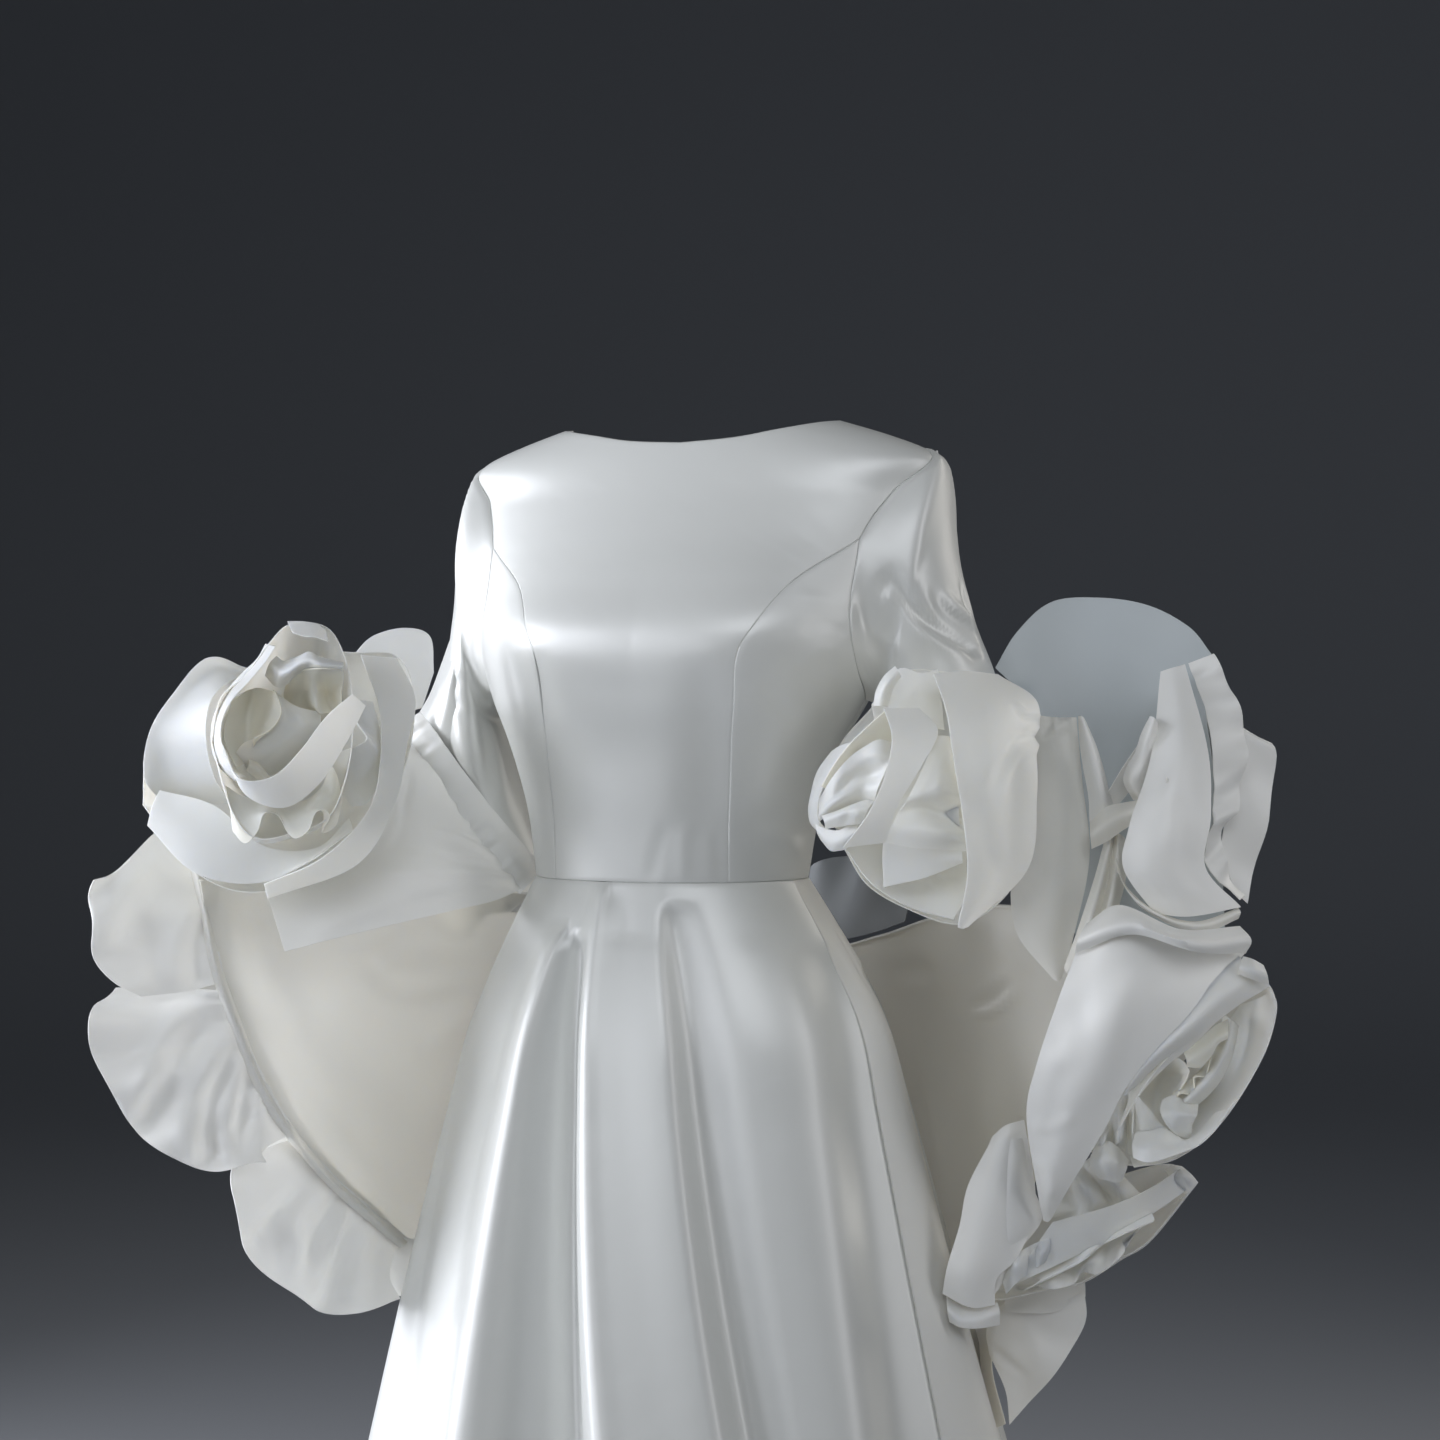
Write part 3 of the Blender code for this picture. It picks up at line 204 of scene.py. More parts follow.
LAID = {
    # name: its edges, from the one it is sewn on by
    "drape_flap": [
        [(-319, -18, -318), (-297, -16, -292), (-277, 14, -278), (-260, 70, -274)],
        [(-342, -28, -353), (-300, -28, -331), (-262, 0, -307), (-230, 52, -297)],
        [(-371, -56, -376), (-303, -50, -362), (-240, -20, -343), (-198, 26, -340)],
        [(-354, -104, -407), (-294, -84, -391), (-225, -46, -372), (-169, 28, -376)],
        [(-342, -115, -440), (-284, -95, -426), (-220, -56, -413), (-182, -12, -406), (-159, 36, -397)],
    ],
    "flounce_right_1": [
        [(-462, -60, -350), (-433, -60, -361), (-416, -86, -405), (-406, -95, -445), (-401, -97, -468)],
        [(-479, -100, -374), (-454, -92, -384), (-444, -106, -411),
         (-437, -108, -446), (-424, -106, -473)],
        [(-490, -128, -382), (-493, -138, -401), (-490, -144, -435),
         (-476, -136, -462), (-455, -124, -475)],
    ],
    "flounce_right_2": [
        [(-400, -97, -473), (-385, -93, -514), (-366, -85, -557), (-346, -78, -594)],
        [(-446, -96, -470), (-435, -118, -527), (-409, -112, -580), (-363, -100, -602)],
        [(-479, -108, -468), (-495, -140, -494), (-477, -138, -548),
         (-447, -128, -593), (-398, -118, -616), (-358, -108, -609)],
    ],
    "flounce_right_3": [
        [(-345, -62, -599), (-318, -47, -636), (-293, -20, -667), (-269, 20, -701)],
        [(-366, -84, -603), (-354, -86, -661), (-321, -58, -705), (-271, -6, -724)],
        [(-377, -94, -596), (-386, -114, -633), (-370, -102, -690),
         (-329, -76, -732), (-294, -48, -746), (-261, -8, -742)],
    ],
    "rose_right_left": [
        [(-384, -118, -321), (-394, -140, -298), (-398, -152, -266),
         (-395, -145, -238), (-382, -125, -222), (-370, -108, -220)],
        [(-418, -108, -320), (-429, -124, -299), (-429, -136, -266),
         (-417, -130, -238), (-396, -115, -214), (-375, -102, -217)],
        [(-444, -108, -318), (-453, -124, -299), (-447, -132, -264),
         (-430, -126, -234), (-404, -114, -204), (-373, -100, -213)],
    ],
    "rose_right_low": [
        [(-439, -130, -310), (-393, -142, -322), (-354, -150, -353),
         (-311, -152, -355), (-285, -150, -331)],
        [(-444, -134, -322), (-404, -146, -351), (-357, -152, -369),
         (-312, -154, -361), (-283, -152, -336)],
        [(-448, -134, -338), (-409, -146, -374), (-360, -152, -383),
         (-318, -156, -367), (-282, -154, -341)],
    ],
    "rose_right_band": [
        [(-282, -108, -202), (-263, -146, -242), (-258, -170, -285),
         (-266, -184, -325), (-301, -190, -361), (-348, -176, -382)],
        [(-255, -92, -204), (-237, -116, -238), (-242, -136, -276),
         (-249, -150, -319), (-277, -162, -367), (-347, -164, -394)],
    ],
    "rose_right_back": [
        [(-301, -20, -242), (-273, -22, -251), (-242, -24, -244)],
        [(-300, -30, -201), (-283, -30, -184), (-256, -30, -177), (-235, -28, -184), (-232, -26, -214)],
    ],
    "rose_right_strap": [
        [(-376, -205, -271), (-360, -218, -298), (-333, -224, -297),
         (-312, -222, -277), (-294, -210, -251), (-277, -192, -234)],
        [(-373, -200, -279), (-356, -210, -311), (-326, -214, -321),
         (-300, -214, -304), (-281, -206, -274), (-267, -188, -243)],
    ],
    "rose_left_band": [
        [(174, -176, -218), (181, -206, -246), (186, -220, -286),
         (192, -222, -324), (197, -212, -371), (191, -196, -414)],
        [(200, -166, -216), (219, -196, -248), (224, -212, -286),
         (225, -212, -324), (220, -204, -372), (195, -194, -415)],
        [(228, -140, -218), (257, -158, -240), (255, -170, -277),
         (255, -172, -313), (248, -172, -370), (200, -188, -414)],
    ],
    "rose_left_strap": [
        [(134, -196, -245), (139, -214, -268), (133, -222, -297), (120, -222, -326), (102, -206, -352)],
        [(162, -190, -245), (175, -206, -263), (162, -218, -288), (143, -220, -320), (135, -206, -348)],
    ],
    "rose_left_fold": [
        [(151, -190, -297), (174, -196, -289), (189, -200, -291)],
        [(135, -186, -346), (166, -196, -345), (194, -200, -356)],
        [(135, -180, -384), (166, -190, -376), (195, -196, -364)],
    ],
    "rose_left_cup": [
        [(125, -140, -317), (146, -142, -345), (174, -144, -357), (209, -146, -353)],
        [(110, -154, -342), (133, -158, -370), (166, -162, -387), (205, -164, -384)],
        [(106, -164, -355), (126, -170, -382), (156, -176, -400), (189, -182, -409)],
    ],
    "rose_left_top": [
        [(132, -158, -271), (153, -160, -260), (171, -160, -260), (184, -160, -262)],
        [(127, -152, -242), (148, -146, -214), (166, -148, -217), (180, -146, -214)],
    ],
    "left_tail": [
        [(248, -84, -247), (272, -89, -251), (297, -92, -252)],
        [(246, -88, -312), (273, -97, -311), (301, -98, -304)],
        [(244, -92, -369), (276, -104, -367), (306, -104, -363)],
        [(246, -104, -423), (270, -110, -425), (294, -108, -424)],
        [(275, -112, -462), (279, -113, -464), (282, -112, -462)],
    ],
    "left_back_petal": [
        [(305, -70, -451), (328, -66, -431), (361, -66, -423), (393, -70, -426), (421, -76, -430)],
        [(289, -66, -386), (330, -54, -378), (363, -54, -374), (395, -60, -374), (419, -72, -375)],
        [(278, -60, -312), (315, -44, -312), (356, -44, -308), (392, -52, -308), (415, -68, -311)],
        [(267, -54, -241), (292, -44, -247), (332, -40, -242), (373, -46, -237), (407, -64, -242)],
        [(250, -44, -224), (274, -38, -200), (320, -34, -187), (365, -40, -192), (409, -58, -224)],
        [(237, -38, -211), (256, -34, -180), (285, -30, -155), (325, -30, -152),
         (366, -36, -159), (398, -44, -177), (415, -52, -201)],
    ],
    "left_inner_fold": [
        [(376, -84, -247), (356, -96, -286), (332, -104, -319), (311, -106, -340)],
        [(346, -108, -272), (331, -112, -293), (319, -114, -312), (308, -112, -323)],
    ],
    "left_puff": [
        [(364, -100, -215), (373, -101, -212), (384, -98, -209)],
        [(351, -133, -282), (372, -144, -279), (396, -132, -278)],
        [(331, -150, -338), (361, -163, -331), (395, -150, -330)],
        [(326, -152, -371), (355, -168, -369), (390, -154, -370)],
        [(351, -151, -406), (378, -162, -408), (419, -148, -402)],
    ],
    "left_flounce_1": [
        [(389, -86, -208), (400, -104, -248), (404, -112, -286),
         (403, -118, -331), (397, -118, -369), (424, -122, -398)],
        [(410, -84, -201), (423, -96, -231), (433, -102, -269),
         (427, -106, -314), (412, -108, -357), (428, -112, -396)],
    ],
    "left_flounce_2": [
        [(415, -78, -238), (422, -84, -278), (421, -88, -319), (415, -92, -360), (426, -94, -394)],
        [(442, -72, -274), (462, -76, -281), (455, -82, -332), (444, -88, -370), (435, -94, -403)],
    ],
    "left_roll": [
        [(297, -150, -415), (323, -156, -400), (368, -168, -418), (418, -150, -417)],
        [(288, -164, -427), (326, -182, -411), (369, -194, -426), (425, -160, -427)],
        [(287, -158, -437), (329, -176, -421), (374, -186, -433), (422, -152, -438)],
    ],
    "left_panel": [
        [(287, -154, -441), (333, -166, -424), (421, -146, -441)],
        [(273, -158, -476), (319, -174, -472), (373, -168, -489)],
        [(257, -158, -524), (290, -170, -524), (330, -164, -537)],
        [(250, -148, -566), (278, -158, -568), (310, -153, -578)],
        [(261, -130, -630), (271, -138, -626), (286, -136, -624)],
        [(267, -118, -655), (270, -119, -656), (272, -120, -655)],
    ],
    "rose_low_cuff": [
        [(425, -134, -450), (379, -160, -498), (345, -162, -535), (322, -150, -578)],
        [(440, -128, -462), (409, -142, -485), (374, -150, -516), (340, -146, -529)],
    ],
    "rose_low_cup": [
        [(429, -98, -485), (415, -92, -507), (401, -88, -535),
         (382, -88, -560), (359, -90, -577), (341, -92, -593)],
        [(441, -126, -475), (434, -118, -514), (416, -112, -552),
         (391, -110, -582), (361, -112, -598), (337, -114, -603)],
        [(442, -150, -466), (448, -146, -483), (438, -140, -522),
         (407, -134, -574), (372, -132, -603), (337, -134, -610)],
    ],
    "rose_end_band": [
        [(275, -112, -658), (321, -112, -645), (355, -104, -632), (381, -92, -618)],
        [(238, -112, -711), (282, -114, -690), (338, -106, -664), (394, -90, -631)],
    ],
    "left_fold": [
        [(225, -106, -596), (238, -110, -587), (254, -106, -583)],
        [(207, -112, -629), (232, -120, -627), (262, -106, -644)],
        [(200, -116, -660), (219, -126, -666), (247, -116, -684)],
        [(190, -120, -691), (207, -130, -697), (229, -122, -701)],
        [(186, -118, -714), (208, -122, -724), (228, -118, -723)],
    ],
    "left_end_flounce": [
        [(253, -46, -737), (240, -42, -749), (234, -38, -767), (235, -34, -788)],
        [(283, -50, -738), (273, -48, -763), (260, -42, -788), (246, -36, -814)],
        [(309, -52, -726), (310, -54, -750), (297, -52, -777), (278, -44, -806), (249, -36, -841)],
    ],
    "back_ruffle": [
        [(82, 222, -450), (108, 190, -457), (130, 156, -451), (151, 119, -442), (171, 93, -432)],
        [(96, 225, -392), (123, 195, -379), (144, 160, -387), (165, 130, -381), (183, 100, -396)],
    ],
}
RIPPLE_START = 0.6        # radians into the first ripple at which an edge starts
RIPPLE_GROWTH = 1.3       # ripples deepen towards the free edge
RIPPLES = {
    # name: (waves along the last edge, depth)
    "flounce_right_1": (2, 4),
    "flounce_right_2": (4, 5),
    "flounce_right_3": (3, 5),
    "left_back_petal": (2, 2),
    "left_flounce_1": (5, 4),
    "left_flounce_2": (2, 3),
    "left_end_flounce": (2, 3),
    "back_ruffle": (2, 8),
}
# Rounds of petals joined at the foot of a rose
CUP_FOOT = 0.07           # share of a cup's lip that its foot is wide
CUP_BULGE = 1.3           # the way up a cup's side against the straight line from foot to lip
CUPS = {
    # name: (foot of the cup as across, away, up; points of its lip)
    "rose_right_cup": ((-354, -40, -296), [
        (-455, -118, -322), (-449, -120, -266), (-407, -108, -206), (-372, -96, -212), (-334, -90, -197),
        (-294, -82, -199), (-256, -78, -202), (-240, -98, -238), (-246, -118, -294), (-277, -138, -359),
        (-355, -146, -390), (-411, -140, -373),
    ]),
    "rose_right_bowl": ((-345, -96, -290), [
        (-387, -186, -271), (-381, -180, -237), (-364, -172, -220), (-346, -168, -195), (-329, -166, -179),
        (-302, -160, -181), (-287, -164, -204), (-279, -176, -238), (-279, -190, -285), (-293, -196, -327),
        (-319, -200, -340), (-348, -204, -345), (-368, -200, -325),
    ]),
    "rose_left_outer": ((176, -124, -310), [
        (107, -140, -357), (94, -128, -318), (103, -126, -276), (130, -128, -243), (151, -130, -216),
        (191, -130, -216), (229, -132, -221), (257, -134, -241), (255, -144, -279), (256, -150, -317),
        (248, -158, -364), (227, -162, -397), (194, -166, -414), (154, -158, -402), (124, -150, -384),
    ]),
    "rose_low_outer": ((395, -40, -541), [
        (428, -112, -449), (449, -112, -467), (454, -110, -487), (443, -106, -527), (412, -102, -578),
        (376, -100, -607), (342, -102, -614), (308, -104, -603), (301, -104, -565), (330, -108, -512),
        (372, -108, -468), (412, -108, -444),
    ]),
    "rose_end_outer": ((322, -22, -689), [
        (397, -66, -636), (360, -74, -679), (335, -78, -694), (303, -80, -713), (271, -82, -719),
        (228, -84, -725), (227, -86, -690), (268, -84, -649), (328, -76, -629), (377, -68, -619),
    ]),
}
# Small petals, strands and folds, each sewn or folded together with a larger piece
PETALS = {
    # name: the piece it is part of, its satin, its edges from its foot or fold outwards
    "rose_right_petal_left": ("rose_right_heart", "heart", [
        [(-372, -178, -238), (-377, -182, -256), (-376, -186, -273), (-367, -188, -291)],
        [(-360, -150, -229), (-363, -154, -248), (-363, -160, -266), (-360, -168, -284)],
        [(-340, -168, -232), (-334, -178, -248), (-341, -182, -261), (-354, -186, -268)],
    ]),
    "rose_right_petal_core": ("rose_right_heart", "rose", [
        [(-346, -150, -230), (-335, -172, -248), (-345, -176, -264), (-362, -178, -271),
         (-369, -180, -279)],
        [(-326, -160, -243), (-321, -168, -256), (-333, -170, -273), (-350, -172, -284),
         (-364, -176, -287)],
        [(-307, -150, -248), (-311, -150, -267), (-327, -150, -284), (-346, -152, -297),
         (-362, -156, -298)],
    ]),
    "rose_right_petal_bud": ("rose_right_heart", "heart", [
        [(-335, -150, -226), (-338, -140, -236), (-331, -136, -247), (-317, -134, -257)],
        [(-319, -176, -216), (-322, -148, -230), (-319, -142, -244), (-310, -140, -251)],
        [(-308, -186, -214), (-310, -166, -229), (-309, -160, -243), (-306, -156, -249)],
        [(-297, -188, -214), (-304, -148, -230), (-301, -144, -243), (-298, -142, -248)],
        [(-285, -184, -215), (-288, -166, -224), (-290, -158, -234), (-291, -152, -243)],
    ]),
    "rose_right_petal_fold": ("rose_right_heart", "rose", [
        [(-350, -158, -219), (-340, -166, -228), (-331, -170, -226), (-324, -172, -219),
         (-314, -176, -216), (-302, -178, -216), (-287, -180, -215)],
        [(-345, -168, -210), (-335, -180, -217), (-327, -184, -216), (-319, -186, -211),
         (-310, -188, -208), (-301, -190, -211), (-285, -186, -213)],
        [(-341, -160, -204), (-334, -166, -208), (-326, -172, -206), (-318, -176, -203),
         (-312, -178, -201), (-303, -180, -205), (-285, -178, -210)],
    ]),
    "rose_right_petal_roll": ("rose_right_heart", "heart", [
        [(-360, -176, -285), (-353, -180, -287), (-347, -182, -293), (-343, -178, -299)],
        [(-357, -188, -288), (-351, -192, -291), (-347, -192, -295), (-344, -188, -301)],
        [(-360, -184, -293), (-355, -186, -297), (-352, -186, -299), (-348, -182, -302)],
    ]),
    "rose_right_petal_lip": ("rose_right_heart", "rose", [
        [(-368, -184, -302), (-380, -178, -293), (-390, -166, -278), (-391, -160, -254),
         (-381, -156, -232), (-369, -152, -217), (-358, -150, -206), (-351, -150, -194)],
        [(-365, -200, -299), (-376, -194, -290), (-383, -190, -273), (-382, -184, -252),
         (-374, -178, -233), (-362, -174, -220), (-352, -170, -206), (-346, -166, -195)],
        [(-356, -208, -298), (-368, -206, -290), (-376, -202, -272), (-377, -194, -254),
         (-370, -188, -238), (-358, -184, -224), (-347, -180, -210), (-339, -176, -197)],
    ]),
    "rose_right_petal_flag": ("rose_right_bowl", "rose", [
        [(-331, -168, -177), (-319, -170, -177), (-308, -170, -179), (-301, -168, -184)],
        [(-325, -180, -186), (-316, -182, -189), (-306, -182, -190), (-298, -178, -193)],
    ]),
    "rose_right_petal_side": ("rose_right_heart", "rose", [
        [(-282, -178, -238), (-275, -182, -256), (-267, -184, -268), (-274, -184, -274),
         (-286, -182, -278), (-297, -180, -283)],
        [(-275, -170, -238), (-269, -172, -262), (-262, -174, -276), (-272, -172, -293),
         (-282, -170, -301), (-293, -168, -303)],
        [(-267, -150, -240), (-261, -152, -262), (-259, -154, -286), (-264, -154, -309),
         (-272, -152, -320), (-283, -150, -322)],
    ]),
    "rose_right_petal_lobes": ("rose_right_heart", "heart", [
        [(-376, -186, -305), (-362, -190, -313), (-347, -190, -316), (-329, -190, -317),
         (-313, -188, -316), (-301, -184, -305), (-296, -180, -287)],
        [(-371, -196, -320), (-360, -200, -331), (-350, -198, -325), (-338, -196, -320),
         (-324, -198, -330), (-312, -196, -325), (-301, -194, -316), (-293, -190, -314),
         (-290, -184, -297)],
        [(-368, -198, -340), (-358, -202, -349), (-348, -204, -340), (-343, -202, -326),
         (-332, -200, -328), (-325, -202, -341), (-318, -204, -345), (-309, -202, -339),
         (-304, -200, -326), (-297, -200, -323), (-293, -198, -329), (-300, -194, -341),
         (-290, -190, -336), (-286, -184, -316)],
    ]),
    "rose_left_petal_rim": ("rose_left_heart", "rose", [
        [(96, -142, -279), (85, -138, -295), (80, -136, -313), (78, -136, -326), (81, -138, -338),
         (96, -142, -348)],
        [(103, -162, -274), (91, -156, -292), (83, -152, -309), (80, -150, -323), (83, -152, -338),
         (96, -154, -347)],
        [(115, -176, -270), (98, -168, -288), (89, -162, -306), (85, -160, -320), (86, -160, -334),
         (96, -164, -343)],
    ]),
    "rose_left_petal_back": ("rose_left_heart", "heart", [
        [(135, -192, -247), (124, -188, -257), (110, -182, -271), (97, -174, -288), (87, -170, -306)],
        [(140, -180, -259), (129, -176, -266), (117, -170, -277), (103, -164, -293), (93, -158, -309)],
        [(143, -170, -271), (133, -166, -276), (122, -160, -284), (110, -152, -298), (99, -148, -312)],
    ]),
    "rose_left_petal_puff": ("rose_left_heart", "rose", [
        [(141, -194, -272), (131, -196, -269), (122, -194, -273), (108, -188, -283), (95, -180, -299),
         (85, -174, -316)],
        [(139, -200, -282), (129, -200, -282), (117, -192, -286), (107, -186, -294), (96, -182, -305),
         (85, -172, -321)],
        [(135, -200, -294), (125, -188, -296), (113, -184, -299), (105, -182, -305), (95, -182, -313),
         (85, -170, -326)],
        [(129, -198, -308), (119, -190, -307), (108, -190, -311), (99, -188, -316), (92, -182, -321),
         (85, -168, -330)],
        [(128, -190, -317), (118, -184, -318), (107, -180, -321), (100, -176, -324), (92, -172, -328),
         (86, -164, -333)],
    ]),
    "rose_left_petal_low": ("rose_left_heart", "rose", [
        [(130, -186, -314), (118, -188, -317), (107, -186, -321), (98, -182, -325), (87, -172, -329)],
        [(122, -196, -323), (114, -196, -324), (107, -192, -325), (99, -188, -328), (89, -176, -333)],
        [(118, -190, -334), (111, -188, -335), (105, -184, -336), (99, -180, -337), (90, -170, -339)],
    ]),
    "rose_left_petal_foot": ("rose_left_heart", "rose", [
        [(116, -182, -333), (107, -180, -336), (100, -176, -340), (91, -168, -339), (83, -158, -336)],
        [(113, -184, -341), (107, -182, -346), (100, -178, -349), (92, -170, -349), (84, -160, -342)],
        [(110, -178, -347), (106, -176, -354), (100, -172, -356), (94, -166, -356), (87, -158, -348)],
    ]),
    "rose_left_petal_inner": ("rose_left_fold", "rose", [
        [(174, -200, -266), (179, -198, -266), (185, -194, -267), (192, -186, -270)],
        [(163, -206, -292), (172, -208, -291), (181, -206, -289), (194, -196, -291)],
        [(152, -208, -314), (164, -212, -311), (178, -212, -309), (197, -202, -311)],
        [(145, -202, -325), (160, -202, -322), (177, -200, -325), (199, -194, -331)],
        [(140, -208, -335), (158, -212, -337), (176, -212, -340), (199, -204, -345)],
        [(134, -202, -348), (155, -206, -352), (175, -206, -353), (200, -200, -355)],
    ]),
    "rose_left_petal_corner": ("rose_left_top", "rose", [
        [(128, -166, -243), (130, -168, -231), (136, -168, -220), (145, -166, -212)],
        [(133, -172, -243), (135, -176, -232), (139, -178, -224), (147, -174, -216)],
        [(139, -168, -243), (141, -170, -235), (144, -172, -227), (149, -170, -220)],
    ]),
    "rose_low_petal_big": ("rose_low_heart", "rose", [
        [(336, -122, -545), (343, -124, -531), (351, -126, -522), (365, -128, -521), (376, -130, -525),
         (382, -132, -533)],
        [(341, -110, -553), (352, -104, -545), (362, -102, -538), (371, -104, -538), (378, -116, -540),
         (380, -128, -541)],
        [(349, -108, -565), (357, -100, -560), (364, -98, -554), (369, -104, -553), (372, -114, -553),
         (373, -124, -554)],
        [(359, -118, -580), (361, -112, -575), (364, -108, -568), (367, -110, -565), (368, -114, -563),
         (370, -120, -562)],
    ]),
    "rose_low_petal_centre": ("rose_low_heart", "heart", [
        [(379, -120, -520), (387, -122, -512), (396, -124, -505), (404, -126, -498), (413, -128, -493)],
        [(379, -134, -525), (387, -138, -519), (395, -140, -513), (402, -140, -506), (411, -138, -502)],
        [(379, -134, -530), (389, -138, -530), (397, -140, -521), (403, -140, -511), (411, -138, -507)],
    ]),
    "rose_low_petal_ridge": ("rose_low_heart", "rose", [
        [(412, -116, -490), (407, -118, -514), (399, -118, -530), (388, -118, -543), (377, -116, -556),
         (371, -112, -561)],
        [(415, -132, -493), (410, -134, -515), (400, -136, -535), (389, -136, -548), (380, -132, -557),
         (372, -126, -562)],
        [(423, -120, -499), (418, -122, -521), (408, -124, -542), (396, -124, -556), (385, -122, -565),
         (377, -118, -568)],
    ]),
    "rose_low_petal_zigzag": ("rose_low_heart", "heart", [
        [(401, -122, -520), (395, -122, -531), (387, -122, -539), (378, -120, -547), (370, -118, -554)],
        [(398, -132, -525), (395, -130, -538), (385, -132, -539), (386, -130, -552), (374, -130, -552),
         (372, -126, -559)],
    ]),
    "rose_low_petal_lobe": ("rose_low_heart", "rose", [
        [(361, -124, -558), (370, -126, -554), (380, -126, -558), (390, -124, -561)],
        [(358, -136, -566), (367, -142, -563), (377, -142, -565), (387, -136, -567)],
        [(361, -138, -573), (366, -144, -576), (377, -144, -568), (385, -138, -570)],
        [(366, -132, -579), (371, -138, -583), (379, -140, -579), (383, -134, -577)],
        [(371, -124, -582), (376, -130, -587), (382, -130, -587), (385, -126, -582)],
    ]),
    "rose_low_petal_wedge": ("rose_low_heart", "rose", [
        [(339, -124, -550), (339, -124, -561), (340, -124, -574), (340, -124, -585)],
        [(346, -130, -560), (347, -132, -568), (348, -132, -576), (348, -130, -583)],
        [(358, -132, -574), (360, -134, -577), (363, -134, -579), (364, -132, -583)],
    ]),
    "rose_low_petal_front": ("rose_low_heart", "rose", [
        [(340, -126, -583), (349, -130, -581), (359, -134, -579), (369, -136, -583), (377, -136, -588),
         (388, -134, -582), (403, -130, -567)],
        [(335, -140, -590), (346, -148, -591), (359, -146, -591), (371, -142, -592), (381, -144, -590),
         (394, -144, -580), (409, -140, -563)],
        [(335, -144, -601), (345, -152, -603), (359, -152, -600), (374, -150, -595), (387, -150, -589),
         (401, -150, -575), (416, -146, -553)],
    ]),
    "rose_low_petal_pleats": ("rose_low_heart", "rose", [
        [(342, -112, -548), (333, -112, -556), (323, -112, -569), (316, -112, -582), (308, -112, -597)],
        [(339, -124, -561), (336, -112, -568), (327, -126, -572), (323, -112, -582), (314, -126, -588),
         (310, -114, -600)],
        [(337, -128, -581), (335, -112, -587), (326, -130, -589), (321, -112, -595), (312, -128, -597),
         (307, -114, -608)],
        [(339, -124, -603), (334, -110, -602), (324, -124, -594), (320, -112, -601), (311, -124, -603),
         (304, -112, -614)],
    ]),
    "rose_low_petal_bud": ("rose_low_heart", "rose", [
        [(310, -120, -595), (318, -124, -591), (326, -124, -596), (335, -118, -607)],
        [(303, -130, -603), (311, -138, -597), (321, -138, -602), (332, -128, -612)],
        [(304, -132, -612), (312, -142, -608), (320, -140, -608), (330, -130, -616)],
        [(311, -128, -620), (316, -134, -620), (323, -134, -622), (329, -126, -622)],
    ]),
    "rose_end_petal_gathers": ("rose_end_heart", "rose", [
        [(316, -80, -607), (303, -84, -616), (291, -86, -627), (283, -88, -638)],
        [(331, -90, -620), (318, -104, -619), (313, -90, -628), (301, -106, -628), (294, -90, -638),
         (278, -100, -646)],
        [(344, -92, -634), (330, -106, -633), (323, -92, -641), (309, -108, -641), (298, -94, -648),
         (276, -102, -655)],
        [(357, -90, -647), (339, -100, -647), (326, -92, -652), (308, -102, -654), (295, -94, -658),
         (273, -98, -659)],
    ]),
    "rose_end_petal_ribbon": ("rose_end_heart", "rose", [
        [(356, -96, -651), (333, -98, -662), (314, -98, -672), (296, -98, -680), (276, -98, -693),
         (259, -96, -705)],
        [(357, -110, -655), (334, -114, -664), (317, -108, -673), (303, -116, -681), (286, -112, -693),
         (265, -114, -704)],
        [(356, -114, -657), (328, -118, -668), (315, -110, -677), (300, -118, -687), (282, -114, -698),
         (250, -116, -713)],
    ]),
    "rose_end_petal_wave": ("rose_end_heart", "rose", [
        [(349, -88, -664), (331, -88, -675), (315, -88, -685), (300, -88, -695), (284, -88, -705),
         (265, -88, -713)],
        [(348, -96, -666), (334, -100, -678), (321, -92, -686), (305, -102, -692), (293, -94, -705),
         (276, -102, -705), (266, -94, -713)],
        [(333, -98, -675), (334, -104, -684), (314, -104, -701), (302, -92, -702), (294, -100, -710),
         (279, -106, -713), (269, -96, -714)],
    ]),
    "rose_end_petal_puffs": ("rose_end_heart", "rose", [
        [(278, -108, -670), (268, -114, -672), (257, -108, -678), (244, -114, -685), (235, -108, -696)],
        [(275, -110, -679), (266, -120, -681), (259, -110, -687), (246, -120, -690), (235, -110, -705)],
        [(274, -108, -689), (264, -116, -692), (259, -108, -699), (248, -118, -703), (238, -110, -716)],
    ]),
    "rose_end_petal_corner": ("rose_end_band", "rose", [
        [(370, -84, -621), (376, -86, -617), (384, -84, -618)],
        [(374, -94, -627), (383, -98, -623), (391, -92, -624)],
        [(386, -90, -639), (390, -96, -635), (396, -90, -630)],
    ]),
    "rose_end_petal_ruffle": ("left_fold", "rose", [
        [(190, -110, -718), (199, -112, -724), (212, -112, -727), (231, -110, -723)],
        [(190, -118, -727), (200, -122, -733), (213, -122, -733), (232, -116, -729)],
        [(192, -116, -737), (200, -122, -740), (214, -122, -741), (232, -114, -740)],
    ]),
    "rose_low_petal_cuff": ("rose_low_cuff", "rose", [
        [(417, -146, -439), (390, -160, -465), (360, -166, -495), (337, -164, -524), (319, -158, -553)],
        [(427, -152, -453), (399, -166, -473), (370, -172, -498), (344, -168, -522), (325, -160, -549)],
        [(444, -142, -465), (417, -154, -478), (388, -162, -498), (358, -162, -519), (335, -156, -542)],
    ]),
    "rose_low_petal_corner": ("rose_low_cuff", "rose", [
        [(421, -148, -441), (428, -152, -443), (437, -148, -448)],
        [(416, -160, -447), (426, -164, -450), (438, -158, -455)],
        [(415, -158, -454), (427, -160, -458), (441, -152, -464)],
    ]),
